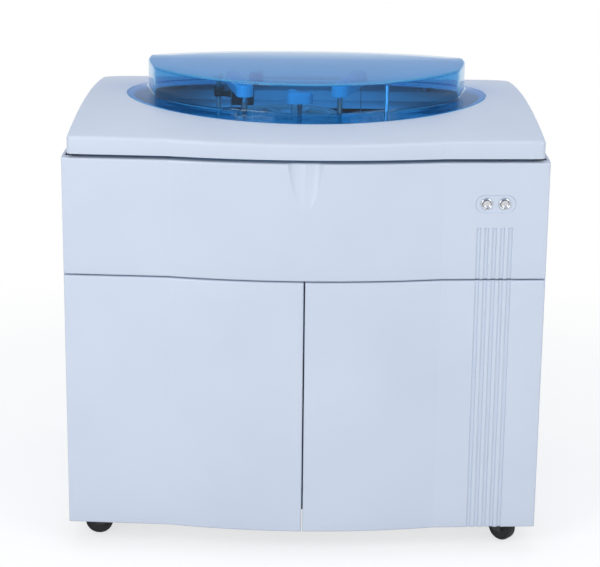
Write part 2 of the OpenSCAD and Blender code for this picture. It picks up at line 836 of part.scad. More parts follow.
// Upright block with the lid's outline: a front bow, a flatter rear bow and short splayed ends
module dome_slab(inset, z0, z1) {
  end_x = dome_x - inset;
  foot_x = end_x - dome_b * tan(dome_splay);
  intersection() {
    translate([0, dome_y, z0]) linear_extrude(z1 - z0) oval(dome_a - inset, dome_b - inset);
    translate([0, dome_rear_y - dome_rear_r, z0]) cylinder(r = dome_rear_r - inset, h = z1 - z0);
    translate([0, dome_y, z0])
      linear_extrude(z1 - z0)
        polygon([
          [-foot_x, -dome_b],
          [foot_x, -dome_b],
          [end_x, 0],
          [end_x, dome_b],
          [-end_x, dome_b],
          [-end_x, 0]
        ]);
  }
}

// Clear blue lid: brim that follows the arch, upright wall and arched top
module blue_lid() {
  color(lid_blue, 0.6)
    difference() {
      union() {
        difference() {
          union() {
            intersection() {
              oval_slab(brim_a, brim_b, hood_z0, hood_top + 10);
              arch_body(hood_top, arch_r);
            }
            intersection() {
              dome_slab(0, hood_z0, dome_top + 10);
              arch_body(dome_top, dome_arch_r);
            }
          }
          arch_body(hood_top - brim_t, arch_r - brim_t);
        }
        for (s = [-1, 1])
          translate([s * lid_hinge_x - lid_ear_w / 2, lid_axis_y, lid_axis_z])
            rotate([0, 90, 0])
              linear_extrude(lid_ear_w) {
                circle(r = lid_barrel_r);
                polygon([
                  [lid_barrel_r - 0.6, -lid_barrel_r - 22],
                  [lid_barrel_r, 0],
                  [0, 0],
                  [0, -lid_barrel_r],
                  [lid_barrel_r - 3, -lid_barrel_r - 22]
                ]);
              }
      }
      intersection() {
        dome_slab(lid_wall, hood_z0, dome_top + 10);
        arch_body(dome_top - lid_wall, dome_arch_r - lid_wall);
      }
      for (s = [-1, 1])
        translate([s * lid_hinge_x - lid_ear_w, lid_axis_y, lid_axis_z])
          rotate([0, 90, 0]) cylinder(r = lid_pin_r + run_fit, h = 2 * lid_ear_w);
    }
}

// Deck plate with a wide opening over the sunken tray and a turned-up rear edge
tray_drop = 24;
tray_z1 = deck_z1 - tray_drop;
tray_z0 = tray_z1 - deck_t;
tray_x = 412;
tray_y = [lid_y - 220, lid_y + 252];
tray_lap = 14;
spacer_r = 5;
spacer_pin_r = 2.5;
spacer_places = [for (x = [-1, 0, 1], y = tray_y)
  [x * (tray_x - tray_lap / 2), y + (y < lid_y ? 1 : -1) * tray_lap / 2]];
module work_deck() {
  w = 2 * (post_x + tube);
  corner_x = hood_hinge_x + 30;
  rear_y = hood_axis_y - hood_ear_r - 6;
  upstand = [2 * (post_x - 14), 2, deck_t + 24];
  color("#a6b3bd")
    difference() {
      union() {
        translate([-w / 2, post_y0, deck_z0]) cube([w, rear_y - post_y0, deck_t]);
        translate([-upstand[0] / 2, rear_y - upstand[1], deck_z0]) cube(upstand);
        for (x = [-w / 2, corner_x])
          translate([x, rear_y - 1, deck_z0]) cube([w / 2 - corner_x, post_y1 - rear_y + 1, deck_t]);
      }
      translate([tray_lap - tray_x, tray_y[0] + tray_lap, deck_z0 - 1])
        cube([2 * (tray_x - tray_lap), tray_y[1] - tray_y[0] - 2 * tray_lap, deck_t + 2]);
      for (c = spacer_places) plate_hole(c, spacer_pin_r, deck_z0);
    }
}
module plate_hole(c, r, z) {
  at(c, z - 1) cylinder(r = r + 0.2, h = deck_t + 2);
}

// Sunken tray that carries the bath, the disks, the arms and the rinse cups
sample_well_r = sample_r + 5;
reagent_well_r = reagent_r + 5;
bath_r_out = cuvette_ring + 17;
bath_r_in = cuvette_ring - 17;
well_depth = 60;
guide_h = 24;
well_wall = 2;
guide_r = shaft_d / 2 + 6;
rim_t = 2;
shaft_places = [sample_shaft_c, reagent_shaft_c, mixer_c];
rinse_places = [sample_rinse_c, reagent_rinse_c, mixer_rinse_c];
module deck_tray() {
  color("#a6b3bd")
    difference() {
      translate([-tray_x, tray_y[0], tray_z0]) cube([2 * tray_x, tray_y[1] - tray_y[0], deck_t]);
      plate_hole(sample_c, sample_well_r + well_wall, tray_z0);
      plate_hole(reagent_c, reagent_well_r + well_wall, tray_z0);
      plate_hole(reaction_c, bath_r_out, tray_z0);
      for (c = shaft_places) plate_hole(c, guide_r, tray_z0);
      for (c = rinse_places) plate_hole(c, rinse_r, tray_z0);
      for (c = spacer_places) plate_hole(c, spacer_pin_r, tray_z0);
    }
}

// Pillars that hang the tray under the deck, each with a pin and two hexagonal heads
module tray_spacers() {
  head_h = 3;
  color(steel)
    for (c = spacer_places) {
      at(c, tray_z0 - head_h) cylinder(r = spacer_pin_r, h = tray_drop + deck_t + 2 * head_h);
      at(c, tray_z0 - head_h) cylinder(r = spacer_r, h = head_h, $fn = 6);
      at(c, tray_z1) cylinder(r = spacer_r, h = tray_drop - deck_t);
      at(c, deck_z1) cylinder(r = spacer_r, h = head_h, $fn = 6);
    }
}

// Bowls that the sample and reagent disks turn in, hung in the tray by their flanges
module disk_wells() {
  color("#8fb0bd") {
    well_bowl(sample_c, sample_well_r);
    well_bowl(reagent_c, reagent_well_r);
  }
}
module well_bowl(c, r) {
  at(c, deck_z0 - well_depth)
    difference() {
      union() {
        cylinder(r = r + well_wall, h = well_depth + deck_t + rim_t);
        translate([0, 0, well_depth + deck_t - tray_drop]) cylinder(r = r + well_wall + 2, h = rim_t);
      }
      translate([0, 0, 3]) cylinder(r = r, h = well_depth + deck_t + rim_t);
      translate([0, 0, -1]) cylinder(r = 7 + slide_fit, h = 10);
    }
}

// Cups that the probes and the paddle are rinsed in
rinse_r = 8;
rinse_depth = 40;
rinse_lip = 6;
module rinse_cups() {
  h = rinse_depth + deck_t + rinse_lip;
  color(cool_grey)
    for (c = rinse_places)
      at(c, deck_z0 - rinse_depth)
        difference() {
          union() {
            cylinder(r = rinse_r, h = h);
            translate([0, 0, rinse_depth + deck_t - tray_drop]) cylinder(r = rinse_r + 1.5, h = rim_t);
          }
          translate([0, 0, 3]) cylinder(r = rinse_r - 2, h = h);
        }
}

// Bushes in the tray that the arm shafts slide and turn in
module arm_guides() {
  color(steel)
    for (c = shaft_places)
      at(c, tray_z0 - guide_h)
        difference() {
          union() {
            cylinder(r = guide_r, h = guide_h + deck_t + rim_t);
            translate([0, 0, guide_h + deck_t]) cylinder(r = guide_r + 3, h = rim_t);
          }
          translate([0, 0, -1]) cylinder(r = shaft_d / 2 + slide_fit, h = guide_h + deck_t + rim_t + 2);
        }
}

// Ring-shaped water bath that keeps the cuvettes warm
bath_depth = 36;
hub_r = 12;
module incubation_bath() {
  color(steel)
    at(reaction_c, deck_z0 - bath_depth) {
      difference() {
        union() {
          cylinder(r = bath_r_out, h = bath_depth + deck_t + 2);
          translate([0, 0, bath_depth + deck_t - tray_drop]) cylinder(r = bath_r_out + 4, h = 2);
        }
        translate([0, 0, 3])
          difference() {
            cylinder(r = bath_r_out - 3, h = bath_depth + 20);
            translate([0, 0, -1]) cylinder(r = bath_r_in, h = bath_depth + 22);
          }
        translate([0, 0, -1]) cylinder(r = hub_r + slide_fit, h = bath_depth + 20);
        translate([0, 0, bath_depth - 6]) cylinder(r = bath_r_in - 3, h = 30);
      }
    }
}

// Reaction disk: hub, web and a ring of square pockets for the cuvettes
cuvette = 7.6;
ring_h = 8;
ring_z = deck_z1 + 3;
module reaction_disk() {
  color("#c9ced2")
    at(reaction_c, ring_z)
      difference() {
        union() {
          tube_ring(cuvette_ring + 12, cuvette_ring - 12, ring_h);
          for (i = [0:5])
            rotate([0, 0, i * 60]) translate([14, -6, 0]) cube([cuvette_ring - 25, 12, 5]);
          cylinder(r = 20, h = 14);
          translate([0, 0, -50]) cylinder(r = hub_r, h = 51);
        }
        for (i = [0:cuvettes_n - 1])
          rotate([0, 0, i * cuvette_step])
            translate([cuvette_ring - cuvette / 2 - 0.1, -cuvette / 2 - 0.1, -1])
              cube([cuvette + 0.2, cuvette + 0.2, ring_h + 2]);
      }
}

module cuvettes() {
  color("#e3edf2")
    at(reaction_c, ring_z)
      for (i = [0:cuvettes_n - 1])
        rotate([0, 0, i * cuvette_step])
          translate([cuvette_ring - cuvette / 2, -cuvette / 2, ring_h - cuvette_h + 1])
            difference() {
              cube([cuvette, cuvette, cuvette_h]);
              translate([1, 1, 1.5]) cube([cuvette - 2, cuvette - 2, cuvette_h]);
            }
}

// Sample disk: two rings of tube holes, a lifting handle and a hub on its drive shaft
tube_d = 13;
tube_rings = [[tube_ring_r, 24], [inner_ring_r, 16]];
tube_phase = 90 + bearing(tube_c - sample_c);
sample_disk_z = deck_z1 - 24;
module sample_disk() {
  color("#c9ced2")
    at(sample_c, sample_disk_z)
      difference() {
        union() {
          cylinder(r = sample_r, h = 10);
          cylinder(r = 16, h = 24);
          translate([0, 0, -50]) cylinder(r = 7, h = 51);
          translate([0, 0, 24]) cylinder(r = 9, h = 10);
        }
        for (ring = tube_rings, i = [0:ring[1] - 1])
          rotate([0, 0, tube_phase + i * 360 / ring[1]])
            translate([ring[0], 0, -1]) cylinder(r = tube_d / 2 + 0.2, h = 12);
      }
}

module sample_tubes() {
  color("#dfe9ee")
    at(sample_c, sample_disk_z)
      for (ring = tube_rings, i = [0:ring[1] - 1])
        rotate([0, 0, tube_phase + i * 360 / ring[1]])
          translate([ring[0], 0, -22])
            difference() {
              cylinder(r = tube_d / 2, h = 44, $fn = 24);
              translate([0, 0, 3]) cylinder(r = tube_d / 2 - 1.2, h = 44, $fn = 24);
            }
}

// Reagent disk with a row of bottles standing in wedge pockets
bottles_n = 12;
bottle_phase = 90 + bearing(bottle_c - reagent_c);
reagent_disk_z = deck_z0 - 42;
module reagent_disk() {
  color("#c9ced2")
    at(reagent_c, reagent_disk_z)
      difference() {
        union() {
          cylinder(r = reagent_r, h = 4);
          tube_ring(reagent_r, reagent_r - 2, 22);
          cylinder(r = 22, h = 46);
          translate([0, 0, -30]) cylinder(r = 7, h = 31);
        }
        translate([0, 0, 30]) tube_ring(30, 14, 30);
      }
}

module reagent_bottles() {
  pitch = 360 / bottles_n;
  inner = 32;
  outer = reagent_r - 5;
  half = pitch / 2 - 1.2;
  bottle_h = 38;
  neck_h = 9;
  color("#eef1f3")
    at(reagent_c, reagent_disk_z + 4)
      for (i = [0:bottles_n - 1])
        rotate([0, 0, bottle_phase + i * pitch])
          difference() {
            union() {
              linear_extrude(bottle_h)
                polygon([
                  inner * [cos(-half), sin(-half)], outer * [cos(-half), sin(-half)],
                  outer * [cos(half), sin(half)], inner * [cos(half), sin(half)]
                ]);
              translate([bottle_ring, 0, 0]) cylinder(r = 8, h = bottle_h + neck_h);
            }
            translate([bottle_ring, 0, 3]) cylinder(r = 5.5, h = bottle_h + neck_h);
          }
}

// Upright shaft of an arm, with a collar that keeps the cover up
module arm_shaft(c) {
  color(chrome_grey)
    at(c, deck_z0 - 150)
      union() {
        cylinder(r = shaft_d / 2, h = arm_z - deck_z0 + 150);
        cylinder(r = shaft_d / 2 + 6, h = 14);
        translate([0, 0, arm_z - deck_z0 + 150 - eps]) cylinder(r = shaft_d / 2 - 2, h = arm_h - 6);
      }
}

// Moulded arm cover from the shaft to the probe, tapering and rounded at both ends
module arm_cover(c, reach, rest) {
  tip_w = 26;
  color(cover_blue)
    at(c, arm_z)
      rotate([0, 0, rest])
        difference() {
          union() {
            hull() {
              cylinder(r = arm_w / 2, h = arm_h - 4, $fn = 32);
              cylinder(r = arm_w / 2 - 4, h = arm_h, $fn = 32);
              translate([0, reach, 0]) cylinder(r = tip_w / 2, h = arm_h - 8, $fn = 32);
              translate([0, reach, 0]) cylinder(r = tip_w / 2 - 4, h = arm_h - 5, $fn = 32);
            }
          }
          translate([0, 0, -1]) cylinder(r = shaft_d / 2 - 2 + run_fit, h = arm_h - 5 + run_fit);
        }
}

module arm_probe(c, reach, rest, length) {
  color(chrome_grey)
    at(c, arm_z)
      rotate([0, 0, rest])
        translate([0, reach, -length]) {
          cylinder(r = 0.9, h = length - 16, $fn = 24);
          translate([0, 0, length - 16]) cylinder(r = 2.5, h = 16, $fn = 24);
        }
}

probe_len = arm_z - deck_z1 - 14;
module sample_arm_shaft() { arm_shaft(sample_shaft_c); }
module sample_arm_cover() { arm_cover(sample_shaft_c, sample_reach, sample_rest); }
module sample_probe() { arm_probe(sample_shaft_c, sample_reach, sample_rest, probe_len); }
module reagent_arm_shaft() { arm_shaft(reagent_shaft_c); }
module reagent_arm_cover() { arm_cover(reagent_shaft_c, reagent_reach, reagent_rest); }
module reagent_probe() { arm_probe(reagent_shaft_c, reagent_reach, reagent_rest, probe_len); }

// Mixer: a short oblong head on a shaft, with a paddle over one cuvette
mixer_z = arm_z - 28;
mixer_h = 25;
module mixer_shaft() {
  below = 120;
  color(chrome_grey)
    at(mixer_c, deck_z0 - below) {
      cylinder(r = shaft_d / 2, h = mixer_z - deck_z0 + below);
      cylinder(r = shaft_d / 2 + 6, h = 14);
      translate([0, 0, mixer_z - deck_z0 + below - eps]) cylinder(r = shaft_d / 2 - 2, h = mixer_h - 6);
    }
}

module mixer_cover() {
  head_h = mixer_h - 7;
  color(cover_blue)
    at(mixer_c, mixer_z)
      difference() {
        union() {
          hull()
            for (s = [-1, 1]) {
              translate([s * 14, 0, 0]) cylinder(r = 16, h = mixer_h - 5, $fn = 32);
              translate([s * 14, 0, 0]) cylinder(r = 12, h = mixer_h, $fn = 32);
            }
          rotate([0, 0, mixer_rest])
            hull() {
              cylinder(r = 12, h = head_h, $fn = 32);
              translate([0, mixer_reach, 0]) cylinder(r = 10, h = head_h, $fn = 32);
            }
        }
        translate([0, 0, -1]) cylinder(r = shaft_d / 2 - 2 + run_fit, h = mixer_h - 5 + run_fit);
      }
}

module mixer_paddle() {
  length = mixer_z - deck_z1 - 14;
  color(chrome_grey)
    at(mixer_pick_c, mixer_z - length) {
      cylinder(r = 1.2, h = length, $fn = 24);
      translate([-2, -0.4, 0]) cube([4, 0.8, 8]);
    }
}

// Wash station: a column beside the ring, a black head that sinks, and its needles
wash_z = deck_z1 + 34;
wash_h = 32;
needle_r = 1;
module wash_column() {
  column_h = wash_z - tray_z1 + 54;
  color(steel)
    at(wash_column_c) {
      translate([-16, -16, tray_z1]) cube([32, 32, 6]);
      translate([0, 0, tray_z1]) cylinder(r = 6, h = column_h);
      translate([0, 0, tray_z1 + column_h - eps]) cylinder(r = 10, h = 5);
    }
}

module at_wash_needles(z) {
  for (i = [0:wash_needles_n - 1])
    at(cuvette_place(180 + (i - (wash_needles_n - 1) / 2) * cuvette_step), z) children();
}

module wash_head() {
  arm = wash_column_c - wash_c;
  color(black)
    difference() {
      union() {
        at(wash_c, wash_z) translate([-24, -30, 0]) cube([54, 60, wash_h]);
        at(wash_column_c, wash_z + 8) cylinder(r = 12, h = wash_h - 8);
        at(wash_c, wash_z + 12)
          linear_extrude(14)
            polygon([[-24, 6], [-8, 30], arm + [10, 8], arm + [-10, -8]]);
      }
      at(wash_column_c, wash_z) cylinder(r = 6 + slide_fit, h = wash_h + 2);
      at_wash_needles(wash_z - 1) cylinder(r = needle_r, h = wash_h + 2, $fn = 24);
    }
}

module wash_needles() {
  color(chrome_grey)
    at_wash_needles(deck_z1 + 14) cylinder(r = needle_r, h = wash_z - deck_z1 + wash_h - 6, $fn = 24);
}

// Thin chrome post that holds the fine tubes up clear of the disks
module tubing_post() {
  color(chrome_grey)
    at(post_c, tray_z1) {
      cylinder(r = 12, h = 4);
      cylinder(r = 4, h = dome_top - tray_z1 - 21);
    }
}

// Liquid tanks on the floor pan, with screw caps
tank_size = [150, 230, 260];
tank_gap = 12;
tank_y = -160;
tank_x = [for (i = [0:2]) 9 - post_x + tank_size[0] / 2 + i * (tank_size[0] + tank_gap)];
filler = [60, 22, 18]; // how far the filler stands from the tank's front, its radius and its height
module tanks() {
  color("#e6eaec")
    for (x = tank_x)
      translate([x - tank_size[0] / 2, tank_y, pan_z1]) {
        difference() {
          cube(tank_size);
          translate([tank_size[0] / 2 - 16, tank_size[1] - 70, tank_size[2] - 50]) cube([32, 50, 60]);
        }
        translate([tank_size[0] / 2, filler[0], tank_size[2] - eps]) cylinder(r = filler[1], h = filler[2] + eps);
      }
}
module tank_caps() {
  color("#2f6fa8")
    for (x = tank_x)
      translate([x, tank_y + filler[0], pan_z1 + tank_size[2] + filler[2]]) {
        cylinder(r = filler[1] + 5, h = 16);
        translate([0, 0, 16 - eps]) cylinder(r = 6, h = 12);
      }
}

// Two syringe pumps on a plate that hangs from the front rail of the deck
pump_x = [120, 200];
pump_plate_w = 200;
pump_y = post_y0 + tube + 60;
pump_z = 560;
barrel_r = 9;
module syringe_pumps() {
  color(steel) {
    translate([(pump_x[0] + pump_x[1] - pump_plate_w) / 2, pump_y + 30, pump_z - 120])
      cube([pump_plate_w, 4, top_z0 - pump_z + 120 + tube]);
    for (x = pump_x) {
      difference() {
        translate([x - 22, pump_y - 20, pump_z + 60]) cube([44, 50, 30]);
        translate([x, pump_y, pump_z + 59]) cylinder(r = 2, h = 32);
      }
      translate([x - 22, pump_y + 10, pump_z - 100]) cube([44, 20, 30]);
      translate([x, pump_y, pump_z - 20]) tube_ring(barrel_r, barrel_r - 2, 80);
    }
  }
}
module plunger(x) {
  color(chrome_grey)
    translate([x, pump_y, pump_z]) {
      translate([0, 0, -15]) cylinder(r = barrel_r - 2.3, h = 14);
      translate([0, 0, -90]) cylinder(r = 3, h = 76);
      translate([0, 0, -94]) cylinder(r = 9, h = 6);
    }
}
module sample_plunger() { plunger(pump_x[1]); }
module reagent_plunger() { plunger(pump_x[0]); }

// Closed steel box with the power supply and the control boards
module control_box() {
  size = [300, 260, 240];
  color(cool_grey)
    translate([post_x - 44 - size[0], -120, pan_z1])
      difference() {
        cube(size);
        for (i = [0:7]) translate([40, -1, 60 + i * 16]) cube([size[0] - 80, 6, 6]);
      }
}

// Cooling fan behind the back panel's round opening, with a finger guard cast in its frame
fan_d = 25;
guard_t = 4;
module fan_frame() {
  color(black)
    translate([fan_c[0], back_y - sheet - fan_d, fan_c[1]])
      rotate([-90, 0, 0]) {
        difference() {
          translate([-fan_size / 2, -fan_size / 2, 0]) cube([fan_size, fan_size, fan_d]);
          translate([0, 0, -1]) cylinder(r = fan_size / 2 - 4, h = fan_d + 2);
        }
        translate([0, 0, fan_d - guard_t]) {
          cylinder(r = 20, h = guard_t);
          for (r = [31, 43]) tube_ring(r + 1.2, r - 1.2, guard_t);
          for (i = [0:3]) rotate([0, 0, 45 + i * 90]) translate([18, -2.5, 0]) cube([fan_size / 2 - 20, 5, guard_t]);
        }
        translate([0, 0, 7]) cylinder(r = 3, h = fan_d - guard_t - 6);
      }
}
module fan_rotor() {
  color(black)
    translate([fan_c[0], back_y - sheet - fan_d, fan_c[1]])
      rotate([-90, 0, 0])
        difference() {
          union() {
            translate([0, 0, 2]) cylinder(r = 19, h = 17);
            for (i = [0:6])
              rotate([0, 0, i * 360 / 7])
                translate([17, 0, 11])
                  rotate([35, 0, 0]) translate([0, -10, -1.2]) cube([fan_size / 2 - 24, 20, 2.4]);
          }
          translate([0, 0, 6]) cylinder(r = 3 + run_fit, h = 14);
        }
}

// Mains inlet block with its three blades, and the rocker opening above it
inlet_d = 30;
module mains_inlet() {
  color(black)
    translate([inlet_c[0], back_y - inlet_d, inlet_c[1]]) {
      difference() {
        union() {
          translate([-24.8, 0, -29.8]) cube([49.6, inlet_d, 59.6]);
          translate([-28, inlet_d - sheet - 6, -33]) cube([56, 6, 66]);
        }
        translate([-12, 9, -22]) cube([24, inlet_d, 17]);
        translate([-11, 9, 4]) cube([22, inlet_d, 20]);
        translate([-20, inlet_d - 8, 14]) rotate([0, 90, 0]) cylinder(r = 2 + run_fit, h = 40);
      }
      for (x = [-7, 0, 7]) translate([x - 1, 8, x == 0 ? -11 : -17]) cube([2, 11, 4]);
    }
}
module mains_switch() {
  rocker = [16, 20];
  rocker_tilt = 8;
  color(black)
    translate([inlet_c[0], back_y - 8, inlet_c[1] + 14])
      rotate([0, 90, 0]) {
        translate([0, 0, -14]) cylinder(r = 2, h = 28);
        rotate([0, 0, rocker_tilt])
          translate([0, 0, -rocker[1] / 2])
            linear_extrude(rocker[1])
              polygon([[-rocker[0] / 2, -1], [rocker[0] / 2, -1], [rocker[0] / 2, 5], [0, 3], [-rocker[0] / 2, 5]]);
      }
}

base_frame();
cabinet_frame();
floor_pan();
left_side_panel();
right_side_panel();
back_panel();
front_panel();
door_hinges();
door_catches();
left_door();
right_door();
caster_stems();
front_left_fork();
front_right_fork();
rear_left_fork();
rear_right_fork();
front_left_wheel();
front_right_wheel();
rear_left_wheel();
rear_right_wheel();
button_bezels();
left_button();
right_button();
hood();
hood_hinges();
hood_buffers();
lid_pads();
lid_hinges();
blue_lid();
work_deck();
disk_wells();
deck_tray();
tray_spacers();
rinse_cups();
arm_guides();
incubation_bath();
reaction_disk();
cuvettes();
sample_disk();
sample_tubes();
reagent_disk();
reagent_bottles();
sample_arm_shaft();
sample_arm_cover();
sample_probe();
reagent_arm_shaft();
reagent_arm_cover();
reagent_probe();
mixer_shaft();
mixer_cover();
mixer_paddle();
wash_column();
wash_head();
wash_needles();
tubing_post();
tanks();
tank_caps();
syringe_pumps();
sample_plunger();
reagent_plunger();
control_box();
fan_frame();
fan_rotor();
mains_inlet();
mains_switch();
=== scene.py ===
# %% [markdown]
# # A floor-standing chemistry analyzer, dressed for its portrait
# The construction of the machine is already there: a cabinet on casters, a hood, a clear blue lid and
# the mechanism below it. This script loads it as a fixed frame and gives each visible surface the form
# and finish that the real one has: soft moulded edges, clear acrylic, plated steel, black rubber.

# %% Load the frame
import math

import bmesh
import bpy
import numpy as np
from mathutils import Matrix, Vector


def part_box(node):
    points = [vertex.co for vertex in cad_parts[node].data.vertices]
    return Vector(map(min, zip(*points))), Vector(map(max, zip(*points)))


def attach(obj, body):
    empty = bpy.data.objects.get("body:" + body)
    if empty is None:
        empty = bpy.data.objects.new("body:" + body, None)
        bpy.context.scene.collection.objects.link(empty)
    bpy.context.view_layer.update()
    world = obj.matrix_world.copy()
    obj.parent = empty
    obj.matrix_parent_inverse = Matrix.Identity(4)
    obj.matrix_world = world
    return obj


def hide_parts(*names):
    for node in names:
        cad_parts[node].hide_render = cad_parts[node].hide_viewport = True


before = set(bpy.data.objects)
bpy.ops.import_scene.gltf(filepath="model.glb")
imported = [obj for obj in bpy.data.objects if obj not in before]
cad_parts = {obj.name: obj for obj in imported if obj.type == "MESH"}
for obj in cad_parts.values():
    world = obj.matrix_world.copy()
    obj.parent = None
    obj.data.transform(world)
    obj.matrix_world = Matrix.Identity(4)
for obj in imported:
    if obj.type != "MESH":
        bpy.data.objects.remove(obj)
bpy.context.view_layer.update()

# %% [markdown]
# ## The camera first
# The photograph was taken from a little above the hood, with a long lens, from about four metres away.
# A camera looks along its own -Z axis, so its matrix has the right, up and backward directions as
# columns. They follow from three angles, which were found by fitting the corners of the cabinet.

# %% Camera
CAMERA_PLACE = Vector((-0.0053, -4.2689, 1.6851))
CAMERA_YAW = -0.0011
CAMERA_PITCH = 0.2682
CAMERA_ROLL = -0.011
LENS_MM = 112.2
SENSOR_MM = 36


def camera_matrix(place, yaw, pitch, roll):
    forward = Vector((math.sin(yaw) * math.cos(pitch), math.cos(yaw) * math.cos(pitch), -math.sin(pitch)))
    level = Vector((math.cos(yaw), -math.sin(yaw), 0))
    upright = level.cross(forward)
    right = level * math.cos(roll) - upright * math.sin(roll)
    up = level * math.sin(roll) + upright * math.cos(roll)
    turn = Matrix((right, up, -forward)).transposed().to_4x4()
    return Matrix.Translation(place) @ turn


camera_data = bpy.data.cameras.new("camera")
camera_data.lens = LENS_MM
camera_data.sensor_width = SENSOR_MM
camera = bpy.data.objects.new("camera", camera_data)
bpy.context.scene.collection.objects.link(camera)
camera.matrix_world = camera_matrix(CAMERA_PLACE, CAMERA_YAW, CAMERA_PITCH, CAMERA_ROLL)
bpy.context.scene.camera = camera
print("camera at", tuple(round(v, 3) for v in camera.location), "lens", LENS_MM)

# %% [markdown]
# ## Measures that the shapes share
# The frame says where each piece is. What the frame can't say, such as how the front bows between its
# two creases, is named here once, in metres.

# %% Shared measures
MM = 0.001
panel_low, panel_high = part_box("front_panel")
hood_low, hood_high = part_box("hood")
lid_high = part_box("blue_lid")[1]
back_low, back_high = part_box("back_panel")

BODY_W = back_high.x - back_low.x
BACK_Y = back_high.y
BOW_HALF = 293 * MM
BOW_RISE = 31 * MM
SIDE_FALL = 13 * MM
SKIN = 3 * MM
CREASE_Y = panel_low.y + BOW_RISE
BOW_RADIUS = (BOW_HALF**2 + BOW_RISE**2) / (2 * BOW_RISE)
RETURN_Y = -357 * MM
print("body width", round(BODY_W, 4), "bow radius", round(BOW_RADIUS, 4))


def front_y(x):
    """Where the cabinet's front stands at a distance x from its middle."""
    x = abs(x)
    if x < BOW_HALF:
        return CREASE_Y + math.sqrt(BOW_RADIUS**2 - BOW_HALF**2) - math.sqrt(BOW_RADIUS**2 - x * x)
    return CREASE_Y + (x - BOW_HALF) * SIDE_FALL / (BODY_W / 2 - BOW_HALF)


# %% [markdown]
# ## Mesh helpers
# Most of the shells here are stacks of rings: a ring of points is repeated, drawn in or lifted, and each
# ring is joined to the next with four-sided faces. Subdivision would round every edge alike, while rings
# let each edge have the radius of the real moulding. Edges sharper than a given angle are marked sharp,
# and everything else is smooth.

# %% Making a piece from points and faces
SMOOTH_ANGLE = math.radians(32)


def piece(name, points, faces, material, body, slot_name, replaced=()):
    mesh = bpy.data.meshes.new(name)
    mesh.from_pydata([tuple(p) for p in points], [], faces)
    work = bmesh.new()
    work.from_mesh(mesh)
    bmesh.ops.remove_doubles(work, verts=work.verts, dist=1e-6)
    bmesh.ops.dissolve_degenerate(work, edges=work.edges, dist=1e-6)
    bmesh.ops.recalc_face_normals(work, faces=work.faces)
    for face in work.faces:
        face.smooth = True
    for edge in work.edges:
        if len(edge.link_faces) == 2 and edge.calc_face_angle(0) > SMOOTH_ANGLE:
            edge.smooth = False
    work.to_mesh(mesh)
    work.free()
    mesh.materials.append(material)
    made = bpy.data.objects.new(name, mesh)
    bpy.context.scene.collection.objects.link(made)
    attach(made, body)
    if replaced:
        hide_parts(*replaced)
    print(f"{name}: {len(mesh.vertices)} points, {len(mesh.polygons)} faces, rides on {body}")


def ring_faces(ring_count, ring_size, torus=False):
    """Quads between neighbouring rings; with torus the last ring joins the first."""
    faces = []
    for k in range(ring_count if torus else ring_count - 1):
        a = k * ring_size
        b = (k + 1) % ring_count * ring_size
        for i in range(ring_size):
            j = (i + 1) % ring_size
            faces.append((a + i, a + j, b + j, b + i))
    return faces


def stack(rings, torus=False):
    """Points and faces of rings joined in order, with flat ends unless the stack closes on itself."""
    points = [p for ring in rings for p in ring]
    size = len(rings[0])
    faces = ring_faces(len(rings), size, torus)
    if not torus:
        last = (len(rings) - 1) * size
        faces.append(tuple(range(size))[::-1])
        faces.append(tuple(last + i for i in range(size)))
    return points, faces


def joined(*parts):
    """Several sets of points and faces as one."""
    points, faces = [], []
    for some_points, some_faces in parts:
        shift = len(points)
        points += [tuple(p) for p in some_points]
        faces += [tuple(shift + i for i in face) for face in some_faces]
    return points, faces


# %% [markdown]
# Plan outlines run anticlockwise. `drawn_in` moves each point inwards along the middle of its corner, so
# that a wall keeps its thickness and a rounded edge its radius all the way round.

# %% Outlines and soft slabs
def drawn_in(outline, d):
    loop = np.array(outline, float)
    ahead = np.roll(loop, -1, 0) - loop
    ahead /= np.linalg.norm(ahead, axis=1)[:, None]
    behind = np.roll(ahead, 1, 0)
    normal_a = np.stack([-ahead[:, 1], ahead[:, 0]], 1)
    normal_b = np.stack([-behind[:, 1], behind[:, 0]], 1)
    middle = normal_a + normal_b
    length = np.linalg.norm(middle, axis=1)[:, None]
    middle /= length
    return loop + middle * d / np.maximum(length / 2, 0.3)


def quarter(r, steps):
    """How far in and how far down a rounded edge is, from its flat face to its side."""
    turn = [math.pi / 2 * i / steps for i in range(steps + 1)]
    return [(r * (1 - math.sin(t)), r * (1 - math.cos(t))) for t in turn]


def soft_slab(outline, z0, z1, r_top, r_low=0.0, steps=5):
    """A slab with a rounded upper and lower edge, as points and faces."""
    rings = []
    for inset, drop in quarter(r_low, steps) if r_low else [(0.0, 0.0)]:
        rings.append([(x, y, z0 + drop) for x, y in drawn_in(outline, inset)])
    for inset, drop in reversed(quarter(r_top, steps)) if r_top else [(0.0, 0.0)]:
        rings.append([(x, y, z1 - drop) for x, y in drawn_in(outline, inset)])
    return stack(rings)


def arc(centre, r, turns):
    return [(centre[0] + r * math.cos(t), centre[1] + r * math.sin(t)) for t in turns]


def circle(centre, r, n=64):
    return arc(centre, r, [2 * math.pi * i / n for i in range(n)])


def corner(x, y, r, start, steps=5):
    """A quarter of a circle about a point, from an angle in degrees."""
    return arc((x, y), r, [math.radians(start + 90 * i / steps) for i in range(steps + 1)])


def round_box(x0, x1, y0, y1, r):
    front = corner(x1 - r, y0 + r, r, -90) + corner(x1 - r, y1 - r, r, 0)
    return front + corner(x0 + r, y1 - r, r, 90) + corner(x0 + r, y0 + r, r, 180)


